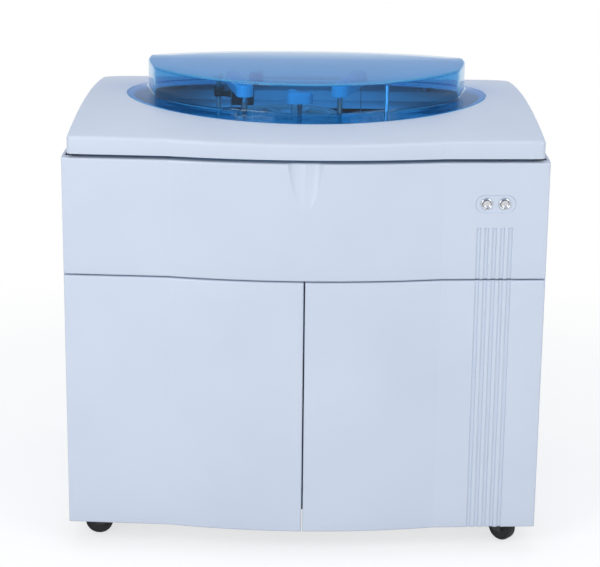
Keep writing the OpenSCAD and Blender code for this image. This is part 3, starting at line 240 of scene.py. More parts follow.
def bar_outline(a, b, r_a, r_b, n=20):
    """Two circles joined by their common tangents: the plan of an arm."""
    direction = Vector((b[0] - a[0], b[1] - a[1]))
    heading = math.atan2(direction.y, direction.x)
    spread = math.acos((r_a - r_b) / direction.length)
    tip = [heading - spread + 2 * spread * i / n for i in range(n + 1)]
    rear = [heading + spread + (2 * math.pi - 2 * spread) * i / n for i in range(n + 1)]
    return arc(b, r_b, tip) + arc(a, r_a, rear)


def spun(profile, torus=False):
    """A profile of (radius, height) in millimetres spun about Z, or a ring with a closed profile."""
    rings = [[(x, y, z * MM) for x, y in circle((0, 0), max(r * MM, 1e-5))] for r, z in profile]
    return stack(rings, torus)


def placed(part, matrix):
    points, faces = part
    return [tuple(matrix @ Vector(p)) for p in points], faces


print("points round a turned piece:", len(circle((0, 0), MM)))

# %% [markdown]
# ## Materials
# Every finish is a Principled shader. Object coordinates are the machine's own metres, so grain has its
# real size: a fine moulded texture repeats about every millimetre, and slow changes of tint run over
# 20 to 30 centimetres. A moulded cover gets a very low bump, paint a soft orange-peel, metal fine brush
# marks that are stretched along one axis.

# %% Shader helpers
def shader(name):
    material = bpy.data.materials.new(name)
    material.use_nodes = True
    tree = material.node_tree
    principled = tree.nodes["Principled BSDF"]
    coords = tree.nodes.new("ShaderNodeTexCoord")
    return material, tree, principled, coords


def noise(tree, coords, scale, detail=2.0, stretch=(1, 1, 1)):
    mapping = tree.nodes.new("ShaderNodeMapping")
    mapping.inputs["Scale"].default_value = stretch
    tree.links.new(coords.outputs["Object"], mapping.inputs["Vector"])
    texture = tree.nodes.new("ShaderNodeTexNoise")
    texture.inputs["Scale"].default_value = scale
    texture.inputs["Detail"].default_value = detail
    tree.links.new(mapping.outputs["Vector"], texture.inputs["Vector"])
    return texture.outputs["Fac"]


def tint(tree, factor, dark, light, target):
    ramp = tree.nodes.new("ShaderNodeValToRGB")
    ramp.color_ramp.elements[0].position = 0.3
    ramp.color_ramp.elements[1].position = 0.7
    ramp.color_ramp.elements[0].color = (*dark, 1)
    ramp.color_ramp.elements[1].color = (*light, 1)
    tree.links.new(factor, ramp.inputs["Fac"])
    tree.links.new(ramp.outputs["Color"], target)


def spread_of(tree, factor, low, high, target):
    spread = tree.nodes.new("ShaderNodeMapRange")
    spread.inputs["From Min"].default_value = 0.3
    spread.inputs["From Max"].default_value = 0.7
    spread.inputs["To Min"].default_value = low
    spread.inputs["To Max"].default_value = high
    tree.links.new(factor, spread.inputs["Value"])
    tree.links.new(spread.outputs["Result"], target)


def bump(tree, principled, factor, height):
    node = tree.nodes.new("ShaderNodeBump")
    node.inputs["Distance"].default_value = height
    tree.links.new(factor, node.inputs["Height"])
    tree.links.new(node.outputs["Normal"], principled.inputs["Normal"])


def plain_finish(name, dark, light, roughness, grain, grain_height, tint_scale=4.0, metal=0.0, coat=0.0,
                 stretch=(1, 1, 1)):
    """A surface with a slow change of tint, a spread of roughness and a fine grain."""
    material, tree, principled, coords = shader(name)
    tint(tree, noise(tree, coords, tint_scale), dark, light, principled.inputs["Base Color"])
    grain_factor = noise(tree, coords, grain, 3.0, stretch)
    spread_of(tree, grain_factor, roughness[0], roughness[1], principled.inputs["Roughness"])
    bump(tree, principled, grain_factor, grain_height)
    principled.inputs["Metallic"].default_value = metal
    principled.inputs["Coat Weight"].default_value = coat
    principled.inputs["Coat Roughness"].default_value = 0.12
    return material


def mixed(tree, factor, first, second):
    """The first shader where the factor is 0, and the second where it is 1."""
    node = tree.nodes.new("ShaderNodeMixShader")
    for source, target in zip((factor, first, second), node.inputs):
        tree.links.new(source, target)
    return node.outputs["Shader"]


# %% [markdown]
# One helper makes every opaque finish, because they differ only in tint, gloss, grain and metal. Two
# tints close together keep a large panel from looking like a flat fill. The colours are linear values,
# so they look lighter on a screen than their numbers suggest.

# %% The finishes
white_moulding = plain_finish(
    "white_moulding", (0.585, 0.650, 0.765), (0.615, 0.678, 0.790), (0.36, 0.46), 900, 0.00006, coat=0.12)
white_paint = plain_finish(
    "white_paint", (0.570, 0.640, 0.755), (0.600, 0.668, 0.780), (0.42, 0.52), 420, 0.00005)
frame_paint = plain_finish(
    "frame_paint", (0.095, 0.105, 0.118), (0.120, 0.130, 0.145), (0.5, 0.62), 600, 0.00008)
zinc_steel = plain_finish(
    "zinc_steel", (0.56, 0.58, 0.60), (0.68, 0.69, 0.70), (0.28, 0.42), 260, 0.00002, 14, 1.0,
    stretch=(1, 1, 0.12))
chrome = plain_finish(
    "chrome", (0.60, 0.61, 0.63), (0.68, 0.69, 0.71), (0.10, 0.18), 300, 0.000004, 20, 1.0)
black_plastic = plain_finish(
    "black_plastic", (0.018, 0.020, 0.023), (0.030, 0.032, 0.036), (0.38, 0.52), 1100, 0.00007)
black_rubber = plain_finish(
    "black_rubber", (0.012, 0.012, 0.013), (0.024, 0.024, 0.026), (0.62, 0.8), 800, 0.00010, 30)
pale_rubber = plain_finish(
    "pale_rubber", (0.52, 0.58, 0.64), (0.58, 0.64, 0.70), (0.6, 0.75), 800, 0.00008, 30)
cover_blue = plain_finish(
    "cover_blue", (0.26, 0.60, 0.76), (0.32, 0.66, 0.80), (0.24, 0.34), 900, 0.00003, coat=0.3)
deck_paint = plain_finish("deck_paint", (0.58, 0.64, 0.70), (0.64, 0.70, 0.76), (0.4, 0.5), 420, 0.00004)
bottle_white = plain_finish(
    "bottle_white", (0.76, 0.78, 0.79), (0.84, 0.85, 0.86), (0.42, 0.55), 500, 0.00005, 30)
cap_blue = plain_finish("cap_blue", (0.012, 0.10, 0.30), (0.018, 0.13, 0.36), (0.35, 0.5), 700, 0.00006, 30)
box_grey = plain_finish("box_grey", (0.42, 0.45, 0.48), (0.48, 0.51, 0.54), (0.42, 0.55), 420, 0.00005)
disk_grey = plain_finish("disk_grey", (0.55, 0.57, 0.59), (0.62, 0.64, 0.66), (0.3, 0.42), 500, 0.00003, 20)
bottle_white.node_tree.nodes["Principled BSDF"].inputs["Subsurface Weight"].default_value = 0.15
print("finishes:", len(bpy.data.materials))

# %% [markdown]
# Clear acrylic is solid glass to the eye: light that passes takes on the tint of the sheet. A path tracer
# finds no lamp through glass, so a tinted Transparent shader stands in for it on rays that look for a
# lamp, and the deck below the lid stays lit.
#
# A real sheet also gathers light and lets it out at its bends, as a pale line. A path that has bounced
# many times inside the sheet would end in black, so after a few bounces it ends in a painted glow: an
# emission of a pale colour that stands in for the light let out at the bends.

# %% Clear sheets
TRAPPED_AFTER = 5  # bounces


def clear_sheet(name, colour, roughness, ior, painted_glow_colour):
    material, tree, principled, coords = shader(name)
    faint = noise(tree, coords, 6.0)
    tint(tree, faint, [c * 0.94 for c in colour], colour, principled.inputs["Base Color"])
    spread_of(tree, noise(tree, coords, 40), roughness, roughness + 0.02, principled.inputs["Roughness"])
    principled.inputs["Transmission Weight"].default_value = 1.0
    principled.inputs["IOR"].default_value = ior
    stand_in = tree.nodes.new("ShaderNodeBsdfTransparent")
    stand_in.inputs["Color"].default_value = (*[c**0.5 for c in colour], 1)
    path = tree.nodes.new("ShaderNodeLightPath")
    sheet = mixed(tree, path.outputs["Is Shadow Ray"], principled.outputs["BSDF"], stand_in.outputs["BSDF"])
    trapped = tree.nodes.new("ShaderNodeMath")
    trapped.operation = "GREATER_THAN"
    trapped.inputs[1].default_value = TRAPPED_AFTER
    tree.links.new(path.outputs["Ray Depth"], trapped.inputs[0])
    # Painted glow: a pale emission that stands in for light let out at the sheet's bends.
    edge = tree.nodes.new("ShaderNodeEmission")
    edge.inputs["Color"].default_value = (*painted_glow_colour, 1)
    whole = mixed(tree, trapped.outputs["Value"], sheet, edge.outputs["Emission"])
    tree.links.new(whole, tree.nodes["Material Output"].inputs["Surface"])
    return material


# The last colour of each sheet is its painted glow, which it shows after a few bounces.
blue_acrylic = clear_sheet("blue_acrylic", (0.19, 0.52, 0.80), 0.03, 1.30, (0.16, 0.42, 0.66))
clear_styrene = clear_sheet("clear_styrene", (0.86, 0.93, 0.96), 0.05, 1.45, (0.30, 0.34, 0.36))
print("clear sheets:", blue_acrylic.name, clear_styrene.name)

# %% [markdown]
# ## The frame's own pieces
# Sheet steel, tubes, axles and the disks are right as they come, so they only get their finish. Where an
# edge would be broken on the real piece, a Weld and a small Bevel soften it without touching the mesh.

# %% Finishes of the frame's pieces
CASTERS = [end + side for end in ("front_", "rear_") for side in ("left", "right")]
FORKS = [caster + "_fork" for caster in CASTERS]
WHEELS = [caster + "_wheel" for caster in CASTERS]
FINISH = {
    "frame_paint": (frame_paint, ["base_frame", "cabinet_frame"]),
    "zinc_steel": (zinc_steel, ["floor_pan", "door_hinges", "hood_hinges", "caster_stems", "tray_spacers",
                                "arm_guides", "syringe_pumps", "wash_column", "incubation_bath"]),
    "white_paint": (white_paint, ["left_side_panel", "right_side_panel", "back_panel"]),
    "white_moulding": (white_moulding, ["lid_hinges"]),
    "black_plastic": (black_plastic, ["door_catches", "fan_frame", "fan_rotor", "mains_inlet",
                                      "mains_switch", "wash_head", *FORKS]),
    "black_rubber": (black_rubber, [*WHEELS, "hood_buffers"]),
    "pale_rubber": (pale_rubber, ["lid_pads"]),
    "chrome": (chrome, ["sample_arm_shaft", "reagent_arm_shaft", "mixer_shaft", "sample_probe",
                        "reagent_probe", "mixer_paddle", "wash_needles", "tubing_post", "sample_plunger",
                        "reagent_plunger"]),
    "deck_paint": (deck_paint, ["work_deck", "deck_tray", "disk_wells"]),
    "disk_grey": (disk_grey, ["reaction_disk", "sample_disk", "reagent_disk", "rinse_cups"]),
    "clear_plastic": (clear_styrene, ["cuvettes", "sample_tubes"]),
    "bottle_white": (bottle_white, ["reagent_bottles", "tanks"]),
    "cap_blue": (cap_blue, ["tank_caps"]),
    "box_grey": (box_grey, ["control_box"]),
}
BROKEN_EDGE = {
    **dict.fromkeys(FORKS + WHEELS, 1.0), "lid_hinges": 0.8, "wash_head": 1.5, "control_box": 2.0,
    "tank_caps": 1.5, "hood_buffers": 1.0, "tubing_post": 1.0, "door_catches": 0.6, "wash_column": 1.0,
    "reaction_disk": 0.4, "sample_disk": 0.8, "work_deck": 0.6, "deck_tray": 0.6, "incubation_bath": 0.6,
}  # widths in millimetres


def break_edges(node, width):
    weld = node.modifiers.new("weld", "WELD")
    weld.merge_threshold = 1e-6
    bevel = node.modifiers.new("bevel", "BEVEL")
    bevel.width = width * MM
    bevel.segments = 2
    bevel.limit_method = "ANGLE"
    bevel.angle_limit = math.radians(40)


for slot_name, (material, names) in FINISH.items():
    for name in names:
        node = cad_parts[name]
        node.data.materials.clear()
        node.data.materials.append(material)
        if name in BROKEN_EDGE:
            break_edges(node, BROKEN_EDGE[name])
print("dressed", sum(len(names) for _, names in FINISH.values()), "pieces of the frame")

# %% [markdown]
# ## The front panel and the doors
# These are one kind of moulding: a thin shell whose face follows the bow, with rounded edges that turn
# back. The face is a height field. It has a column of points wherever the shape turns and few where it
# doesn't, and each feature, such as a groove or the finger scoop, says how deep it is at a point. That
# keeps the soft edges of a moulding, which cutting with a boolean would lose.

# %% The face as a height field
EDGE_R = 4 * MM
GRID_X, GRID_Z = 14 * MM, 40 * MM
CREASE_SOFT = 1.5 * MM


def edge_lines(low, high, steps=5):
    """Grid lines close to both ends of a span, placed evenly round the edge's radius."""
    near = [EDGE_R * (1 - math.cos(math.pi / 2 * i / steps)) for i in range(steps + 1)]
    return [low + d for d in near] + [high - d for d in near]


def spaced(low, high, step):
    count = max(1, round((high - low) / step))
    return [low + (high - low) * i / count for i in range(count + 1)]


def tidy_lines(lines, low, high, gap=0.15 * MM):
    kept = []
    for value in sorted(v for v in lines if low - 1e-9 <= v <= high + 1e-9):
        if not kept or value - kept[-1] > gap:
            kept.append(value)
    kept[-1] = high
    return kept


def edge_drop(x, z, x0, x1, z0, z1):
    over_x = max(0.0, EDGE_R - min(x - x0, x1 - x)) / EDGE_R
    over_z = max(0.0, EDGE_R - min(z - z0, z1 - z)) / EDGE_R
    reach = min(1.0, math.hypot(over_x, over_z))
    return EDGE_R * (1 - math.sqrt(1 - reach * reach))


def shell(x0, x1, z0, z1, relief, backing, x_lines, z_lines):
    """Points and faces of a front moulding: face, turned-back edges, and the hollow behind it."""
    xs = tidy_lines(edge_lines(x0, x1) + spaced(x0, x1, GRID_X) + x_lines, x0, x1)
    zs = tidy_lines(edge_lines(z0, z1) + spaced(z0, z1, GRID_Z) + z_lines, z0, z1)
    across, up = len(xs), len(zs)
    points = []
    for z in zs:
        for x in xs:
            y = front_y(x) + edge_drop(x, z, x0, x1, z0, z1) + relief(x, z)
            points.append((x, y, z))
    for z in zs:
        for x in xs:
            xi = x0 + SKIN + (x - x0) * (x1 - x0 - 2 * SKIN) / (x1 - x0)
            zi = z0 + SKIN + (z - z0) * (z1 - z0 - 2 * SKIN) / (z1 - z0)
            points.append((xi, front_y(xi) + SKIN + backing(x, z), zi))
    inner = across * up
    faces = []
    for k in range(up - 1):
        for i in range(across - 1):
            a = k * across + i
            faces.append((a, a + 1, a + across + 1, a + across))
            faces.append((inner + a, inner + a + across, inner + a + across + 1, inner + a + 1))
    rim = list(range(across))
    rim += [k * across + across - 1 for k in range(1, up)]
    rim += [(up - 1) * across + i for i in range(across - 2, -1, -1)]
    rim += [k * across for k in range(up - 2, 0, -1)]
    outer_back = len(points)
    points += [(points[i][0], RETURN_Y, points[i][2]) for i in rim]
    inner_back = len(points)
    points += [(points[inner + i][0], RETURN_Y, points[inner + i][2]) for i in rim]
    for n in range(len(rim)):
        m = (n + 1) % len(rim)
        faces.append((rim[n], outer_back + n, outer_back + m, rim[m]))
        faces.append((outer_back + n, inner_back + n, inner_back + m, outer_back + m))
        faces.append((inner_back + n, inner + rim[n], inner + rim[m], inner_back + m))
    return points, faces


def crease_lines():
    """Grid lines at both creases of the bow and close beside them."""
    return [s * (BOW_HALF + d) for s in (-1, 1) for d in (-CREASE_SOFT, 0, CREASE_SOFT)]


print("grid lines across a door:", len(tidy_lines(edge_lines(0, 0.5) + spaced(0, 0.5, GRID_X), 0, 0.5)))

# %% [markdown]
# ### Grooves, button recess and finger scoop
# The grooves and the recess are defined by their distance to an outline: inside it the depth is full,
# and it fades over the radius of the moulded edge. The scoop is two shallow channels side by side that
# run out towards the bottom and leave a low ridge between them.

# %% Depth of the features
bezel_low, bezel_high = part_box("button_bezels")
CONTROL_X = (bezel_low.x + bezel_high.x) / 2
RECESS_Z = (bezel_low.z + bezel_high.z) / 2
RECESS_W = 87 * MM
RECESS_H = 39 * MM
RECESS_DEPTH = 2.5 * MM
GROOVES = 5
GROOVE_PITCH = 17 * MM
GROOVE_W = 9.6 * MM
GROOVE_DEPTH = 3 * MM
GROOVE_TOP = panel_low.z + 114 * MM
SOFT = 0.8 * MM
SOFT_STEPS = (0, 0.25, 0.5, 0.75, 1)
SCOOP_W = 76 * MM
SCOOP_H = 98 * MM
SCOOP_DEPTH = 11 * MM
SCOOP_RIDGE = 0.3
SCOOP_FLARE = 0.4
BACKING = 4 * MM
BACKING_MARGIN = 6 * MM
BACKING_SOFT = 3 * MM


def fade(distance, soft=SOFT):
    """1 well inside an outline, 0 outside it, and a smooth turn between."""
    t = min(1.0, max(0.0, distance / soft))
    return t * t * (3 - 2 * t)


def groove_depth(x, z, top):
    near = min(abs(x - CONTROL_X - (i - (GROOVES - 1) / 2) * GROOVE_PITCH) for i in range(GROOVES))
    return GROOVE_DEPTH * fade(GROOVE_W / 2 - near) * fade(top - z)


def recess_depth(x, z):
    along = max(0.0, abs(x - CONTROL_X) - (RECESS_W - RECESS_H) / 2)
    return RECESS_DEPTH * fade(RECESS_H / 2 - math.hypot(along, z - RECESS_Z))


def scoop_depth(x, z):
    """Two channels side by side, deepest at the panel's upper edge, with a low ridge between."""
    rise = (z - (panel_high.z - SCOOP_H)) / SCOOP_H
    if rise <= 0:
        return 0.0
    across = 2 * abs(x) / (SCOOP_W * rise**SCOOP_FLARE)
    if across >= 1:
        return 0.0
    bed = 1 - SCOOP_RIDGE * (1 - 2 * across) ** 2 if across < 0.5 else 1 - (2 * across - 1) ** 2
    return SCOOP_DEPTH * rise * bed


def panel_relief(x, z):
    return groove_depth(x, z, GROOVE_TOP) + recess_depth(x, z) + scoop_depth(x, z)


def control_backing(x):
    """How far the inner face steps back behind the controls and grooves, so that the wall stays whole."""
    return BACKING * fade(RECESS_W / 2 + BACKING_MARGIN - abs(x - CONTROL_X), BACKING_SOFT)


def panel_backing(x, z):
    return control_backing(x) + scoop_depth(x, z)


def door_relief(x, z):
    """The grooves run on down the whole door."""
    return groove_depth(x, z, hood_high.z)


def door_backing(x, z):
    return control_backing(x)


def flat(x, z):
    return 0.0


def groove_lines():
    lines = []
    for i in range(GROOVES):
        middle = CONTROL_X + (i - (GROOVES - 1) / 2) * GROOVE_PITCH
        for side in (-1, 1):
            edge = middle + side * GROOVE_W / 2
            lines += [edge - side * SOFT * t for t in SOFT_STEPS]
    return lines


print("controls at", round(CONTROL_X, 4), round(RECESS_Z, 4), "scoop", SCOOP_W, "by", SCOOP_H)

# %% [markdown]
# The front panel is one moulding across the whole width. Its grid gets extra lines only where the relief
# bends: at the grooves, round the recess and in the scoop. A fine grid all over would give the same shape
# with many times the points.

# %% Front panel
PANEL_EDGE = 1 * MM
RECESS_STEP = 0.9 * MM
SCOOP_STEP_X, SCOOP_STEP_Z = 1.5 * MM, 2.5 * MM
SCOOP_SIDE = SCOOP_W / 2 + 2 * MM
panel_x_lines = crease_lines() + groove_lines()
panel_x_lines += spaced(CONTROL_X - RECESS_W / 2 - MM, CONTROL_X + RECESS_W / 2 + MM, RECESS_STEP)
panel_x_lines += spaced(-SCOOP_SIDE, SCOOP_SIDE, SCOOP_STEP_X)
panel_z_lines = spaced(RECESS_Z - RECESS_H / 2 - MM, RECESS_Z + RECESS_H / 2 + MM, RECESS_STEP)
panel_z_lines += spaced(panel_high.z - SCOOP_H - 10 * MM, panel_high.z - 6 * MM, SCOOP_STEP_Z)
panel_z_lines += [GROOVE_TOP - SOFT * t for t in SOFT_STEPS]
half_width = BODY_W / 2 - PANEL_EDGE
panel_shell = shell(-half_width, half_width, panel_low.z, panel_high.z, panel_relief, panel_backing,
                    panel_x_lines, panel_z_lines)
piece("front_panel_moulding", *panel_shell, white_moulding, "root", "white_moulding", ["front_panel"])

# %% [markdown]
# A door is the same moulding with three hinge knuckles on its outer edge. The knuckles turn on the pins
# of the frame, so they are modelled where the frame's own door has them.

# %% The two doors
KNUCKLE_R = 4 * MM
KNUCKLE_H = 19.2 * MM
KNUCKLE_EDGE = 0.3 * MM
KNUCKLE_INSET = 90 * MM
LUG_W = 16 * MM
LUG_EDGE_R = 0.5 * MM
DOOR_AXIS_Y = -360 * MM


def door_moulding(name, side):
    low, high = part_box(name)
    relief = door_relief if side > 0 else flat
    backing = door_backing if side > 0 else flat
    x_lines = crease_lines() + (groove_lines() if side > 0 else [])
    outer = side * half_width
    x0, x1 = (low.x, outer) if side > 0 else (outer, high.x)
    parts = [shell(x0, x1, low.z, high.z, relief, backing, x_lines, [])]
    axis_x = side * (BODY_W / 2 - KNUCKLE_R)
    knuckle = circle((axis_x, DOOR_AXIS_Y), KNUCKLE_R, 32)
    lug_x = sorted((axis_x, axis_x - side * LUG_W))
    lug = round_box(*lug_x, DOOR_AXIS_Y - KNUCKLE_R, DOOR_AXIS_Y, LUG_EDGE_R)
    for z in (low.z + KNUCKLE_INSET, (low.z + high.z) / 2, high.z - KNUCKLE_INSET):
        z0 = z - KNUCKLE_H / 2
        for outline in (knuckle, lug):
            parts.append(soft_slab(outline, z0, z0 + KNUCKLE_H, KNUCKLE_EDGE, KNUCKLE_EDGE, 2))
    return joined(*parts)


for name, side in (("left_door", -1), ("right_door", 1)):
    piece(name + "_moulding", *door_moulding(name, side), white_moulding, name, "white_moulding", [name])

# %% [markdown]
# ## The hood
# The hood is a shallow shell with an upright skirt, an arched top and a large oval opening that the lid
# sits in. It's built as one closed stack of rings that wraps round the wall like a sleeve: up the outside
# of the skirt, over the rounded edge, in over the top to the opening, and back underneath.

# %% Hood outline and arch
HOOD_HALF = (hood_high.x - hood_low.x) / 2
REAR_R = 80 * MM
FRONT_R = 10 * MM
SKIRT_H = 38 * MM
SKIRT_BOTTOM = 896 * MM
HOOD_RISE = hood_high.z - SKIRT_BOTTOM - SKIRT_H
HOOD_WALL = 3.5 * MM
HOOD_EDGE_R = 6 * MM
MIDDLE_Y = (BACK_Y + front_y(BODY_W / 2)) / 2
BODY_D = BACK_Y - front_y(BODY_W / 2)
ARCH_R = (BODY_D**2 / 4 + HOOD_RISE**2) / (2 * HOOD_RISE)
NOTCH_X = 308.5 * MM
NOTCH_HALF = 4 * MM
NOTCH_H = 11 * MM
HOOD_STEP = 22 * MM


def arch_z(y, top, radius):
    return top - radius + math.sqrt(radius**2 - (y - MIDDLE_Y) ** 2)


def notch_lines():
    """Both sides of the two notches in the rear skirt, which pass over the hinge brackets."""
    return [side * (NOTCH_X + off) for side in (-1, 1)
            for off in (-NOTCH_HALF - 0.2 * MM, -NOTCH_HALF, NOTCH_HALF, NOTCH_HALF + 0.2 * MM)]


def over_bracket(x, y, z):
    """A point of the skirt's lower edge, lifted where it crosses a notch."""
    inside = abs(abs(x) - NOTCH_X) < NOTCH_HALF + 0.1 * MM and y > BACK_Y - 10 * MM
    return (x, y, z + NOTCH_H) if inside else (x, y, z)


def hood_outline(steps=9):
    """Anticlockwise from the front left corner; the front follows the bow."""
    start = HOOD_HALF - FRONT_R
    front_x = tidy_lines(spaced(-start, start, GRID_X) + crease_lines(), -start, start)
    outline = [(x, front_y(x)) for x in front_x]
    corner_y = front_y(HOOD_HALF) + FRONT_R
    outline += corner(start, corner_y, FRONT_R, -90, steps)[1:]
    rear = HOOD_HALF - REAR_R
    side_y = spaced(front_y(HOOD_HALF) + 40 * MM, BACK_Y - REAR_R - 20 * MM, HOOD_STEP)
    outline += [(HOOD_HALF, y) for y in side_y]
    outline += corner(rear, BACK_Y - REAR_R, REAR_R, 0, steps * 2)
    ends = rear - 20 * MM
    rear_x = tidy_lines(spaced(-ends, ends, HOOD_STEP) + notch_lines(), -ends, ends, 0.05 * MM)
    outline += [(x, BACK_Y) for x in reversed(rear_x)]
    outline += corner(-rear, BACK_Y - REAR_R, REAR_R, 90, steps * 2)
    outline += [(-HOOD_HALF, y) for y in reversed(side_y)]
    return outline + corner(-start, corner_y, FRONT_R, 180, steps)[:-1]


print("hood: rise of the arch", round(HOOD_RISE, 4), "radius", round(ARCH_R, 3))

# %% [markdown]
# Each point of the outline has a partner on the oval, on the ray from the lid's middle. A ring on the top
# lies between the two at some share of the way, and its height is the arch at that place, so the rings
# can be as few as the lighting needs.

# %% Hood shell
LID_Y = 62 * MM
BRIM_A, BRIM_B = 416 * MM, 336 * MM
BRIM_GAP = 2 * MM
LEDGE_W = 14 * MM
LEDGE_DEPTH = 6 * MM
RING_DEPTH = 9 * MM
RING_OUT_X, RING_OUT_Y = 6 * MM, 5 * MM
FOOT_R = 1.2 * MM
MOUTH_R = 2 * MM


def oval_toward(outline, a, b):
    ring = []
    for x, y in outline:
        t = math.atan2((y - LID_Y) / b, x / a)
        ring.append((a * math.cos(t), LID_Y + b * math.sin(t)))
    return ring


def lifted(ring, depth):
    """A plan ring raised to the arch of the hood, less a depth."""
    return [(x, y, arch_z(y, hood_high.z - depth, ARCH_R - depth)) for x, y in ring]


def between(ring_a, ring_b, share):
    return [(a[0] + (b[0] - a[0]) * share, a[1] + (b[1] - a[1]) * share) for a, b in zip(ring_a, ring_b)]


def hood_rings():
    outline = hood_outline()
    rings = [[over_bracket(x, y, SKIRT_BOTTOM + drop) for x, y in drawn_in(outline, inset)]
             for inset, drop in quarter(FOOT_R, 3)]
    edge = [drawn_in(outline, inset) for inset, _ in reversed(quarter(HOOD_EDGE_R, 7))]
    drops = [drop for _, drop in reversed(quarter(HOOD_EDGE_R, 7))]
    for ring, drop in zip(edge, drops):
        rings.append(lifted(ring, drop))
    rim_a, rim_b = BRIM_A + BRIM_GAP, BRIM_B + BRIM_GAP
    mouth = oval_toward(outline, rim_a + MOUTH_R, rim_b + MOUTH_R)
    for share in (0.15, 0.35, 0.55, 0.75, 0.9, 1.0):
        rings.append(lifted(between(edge[-1], mouth, share), 0))
    for inset, drop in quarter(MOUTH_R, 4):
        rings.append(lifted(oval_toward(outline, rim_a + inset, rim_b + inset), drop))
    rings.append(lifted(oval_toward(outline, rim_a, rim_b), LEDGE_DEPTH))
    inner_a, inner_b = BRIM_A - LEDGE_W, BRIM_B - LEDGE_W
    rings.append(lifted(oval_toward(outline, inner_a + MM, inner_b + MM), LEDGE_DEPTH))
    rings.append(lifted(oval_toward(outline, inner_a, inner_b), LEDGE_DEPTH + MM))
    rings.append(lifted(oval_toward(outline, inner_a, inner_b), RING_DEPTH + HOOD_WALL))
    outside = oval_toward(outline, BRIM_A + RING_OUT_X, BRIM_B + RING_OUT_Y)
    rings.append(lifted(outside, RING_DEPTH + HOOD_WALL))
    rings.append(lifted(outside, HOOD_WALL))
    inner_edge = drawn_in(outline, HOOD_EDGE_R)
    rings.append(lifted(between(inner_edge, mouth, 0.5), HOOD_WALL))
    for inset, drop in quarter(HOOD_EDGE_R - HOOD_WALL, 4):
        rings.append(lifted(drawn_in(outline, inset + HOOD_WALL), drop + HOOD_WALL))
    rings.append([over_bracket(x, y, SKIRT_BOTTOM) for x, y in drawn_in(outline, HOOD_WALL)])
    return rings


hood_points, hood_faces = stack(hood_rings(), torus=True)
print("hood shell:", len(hood_points), "points")

# %% [markdown]
# The hood turns on two ears under its rear edge, and carries two pads for the blocks of the lid's hinges.
# They're moulded with the hood, so they join its mesh and make one piece with it.

# %% Hood ears and pads
EAR_X = 300 * MM
EAR_HALF = 5 * MM
EAR_FRONT, EAR_REAR = BACK_Y - 22 * MM, BACK_Y - 6 * MM
EAR_TOP = SKIRT_BOTTOM + 37 * MM
PAD_X = 137.4 * MM
PAD_HALF_X, PAD_HALF_Y = 8 * MM, 7 * MM
PAD_H = 5.5 * MM


def hood_ears():
    block_low, block_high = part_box("lid_hinges")
    pad_y = (block_low.y + block_high.y) / 2
    parts = []
    for side in (-1, 1):
        x = side * EAR_X
        ear = round_box(x - EAR_HALF, x + EAR_HALF, EAR_FRONT, EAR_REAR, 1 * MM)
        parts.append(soft_slab(ear, hood_low.z, EAR_TOP, 0, 1.5 * MM))
        x = side * PAD_X
        pad = round_box(x - PAD_HALF_X, x + PAD_HALF_X, pad_y - PAD_HALF_Y, pad_y + PAD_HALF_Y, 2 * MM)
        parts.append(soft_slab(pad, EAR_TOP, EAR_TOP + PAD_H, 0.5 * MM, 0))
    return parts


hood_mesh = joined((hood_points, hood_faces), *hood_ears())
piece("hood_shell", *hood_mesh, white_moulding, "hood", "white_moulding", ["hood"])

# %% [markdown]
# ## The clear blue lid
# A vacuum-formed lid of acrylic about 4 mm thick: a brim that follows the hood's arch, a tight bend, an
# upright wall, a rounder bend and a gently arched top. Seen from above, the wall is not an oval like the
# brim. It has a deep bow in front, a flatter one behind, and short ends that splay a little to the back.
#
# Its outline is the nearest of four bounds on each ray from the lid's middle. A power mean takes the place
# of the plain minimum, which rounds the upright corners the way that formed sheet does.

# %% Outline of the lid's wall
WALL_X = BRIM_A - 40 * MM
WALL_FRONT = LID_Y - BRIM_B + 74 * MM
WALL_REAR = LID_Y + BRIM_B - 48 * MM
LID_MIDDLE = (WALL_FRONT + WALL_REAR) / 2
BOW_Y = LID_Y + 68 * MM
BOW_A, BOW_B = WALL_X + 12 * MM, BOW_Y - WALL_FRONT
REAR_SAG = 148 * MM
REAR_BOW_R = (WALL_X**2 + REAR_SAG**2) / (2 * REAR_SAG)
SPLAY = math.tan(math.radians(10))
CORNER_POWER = 130
CORNER_RAYS = (-14.0, 8.5, 19.0)
BESIDE = (-1.5, -0.75, -0.35, 0.35, 0.75, 1.5)


def oval_reach(t, a, b, middle):
    """How far a ray from the lid's middle runs to an oval centred at the given depth."""
    dx, dy, rise = math.cos(t) / a, math.sin(t) / b, (LID_MIDDLE - middle) / b
    along = dx * dx + dy * dy
    half = dy * rise
    return (-half + math.sqrt(half * half - along * (rise * rise - 1))) / along


def wall_reach(t, inset):
    """How far the same ray runs to the lid's wall, drawn in by an inset."""
    dx, dy = abs(math.cos(t)), math.sin(t)
    end = WALL_X - inset
    rear_r = REAR_BOW_R - inset
    bounds = [oval_reach(t, BOW_A - inset, BOW_B - inset, BOW_Y)]
    bounds.append(oval_reach(t, rear_r, rear_r, WALL_REAR - REAR_BOW_R))
    bounds.append(end / max(dx, 1e-6))
    bounds.append((end - SPLAY * (BOW_Y - LID_MIDDLE)) / max(dx - SPLAY * dy, 1e-6))
    return sum(reach**-CORNER_POWER for reach in bounds) ** (-1 / CORNER_POWER)


def lid_rays(count=168):
    """Directions all round, with extra ones close to the upright corners."""
    rays = [360 * i / count for i in range(count)]
    for bend in CORNER_RAYS:
        for step in BESIDE:
            rays += [bend + step, 180 - bend - step]
    return [math.radians(ray) for ray in sorted(ray % 360 for ray in rays)]


LID_RAYS = lid_rays()
print("lid wall:", len(LID_RAYS), "points, front", round(WALL_FRONT, 3), "rear", round(WALL_REAR, 3))

# %% [markdown]
# Both surfaces of the sheet are modelled, because glass only looks right with the thickness it really has.

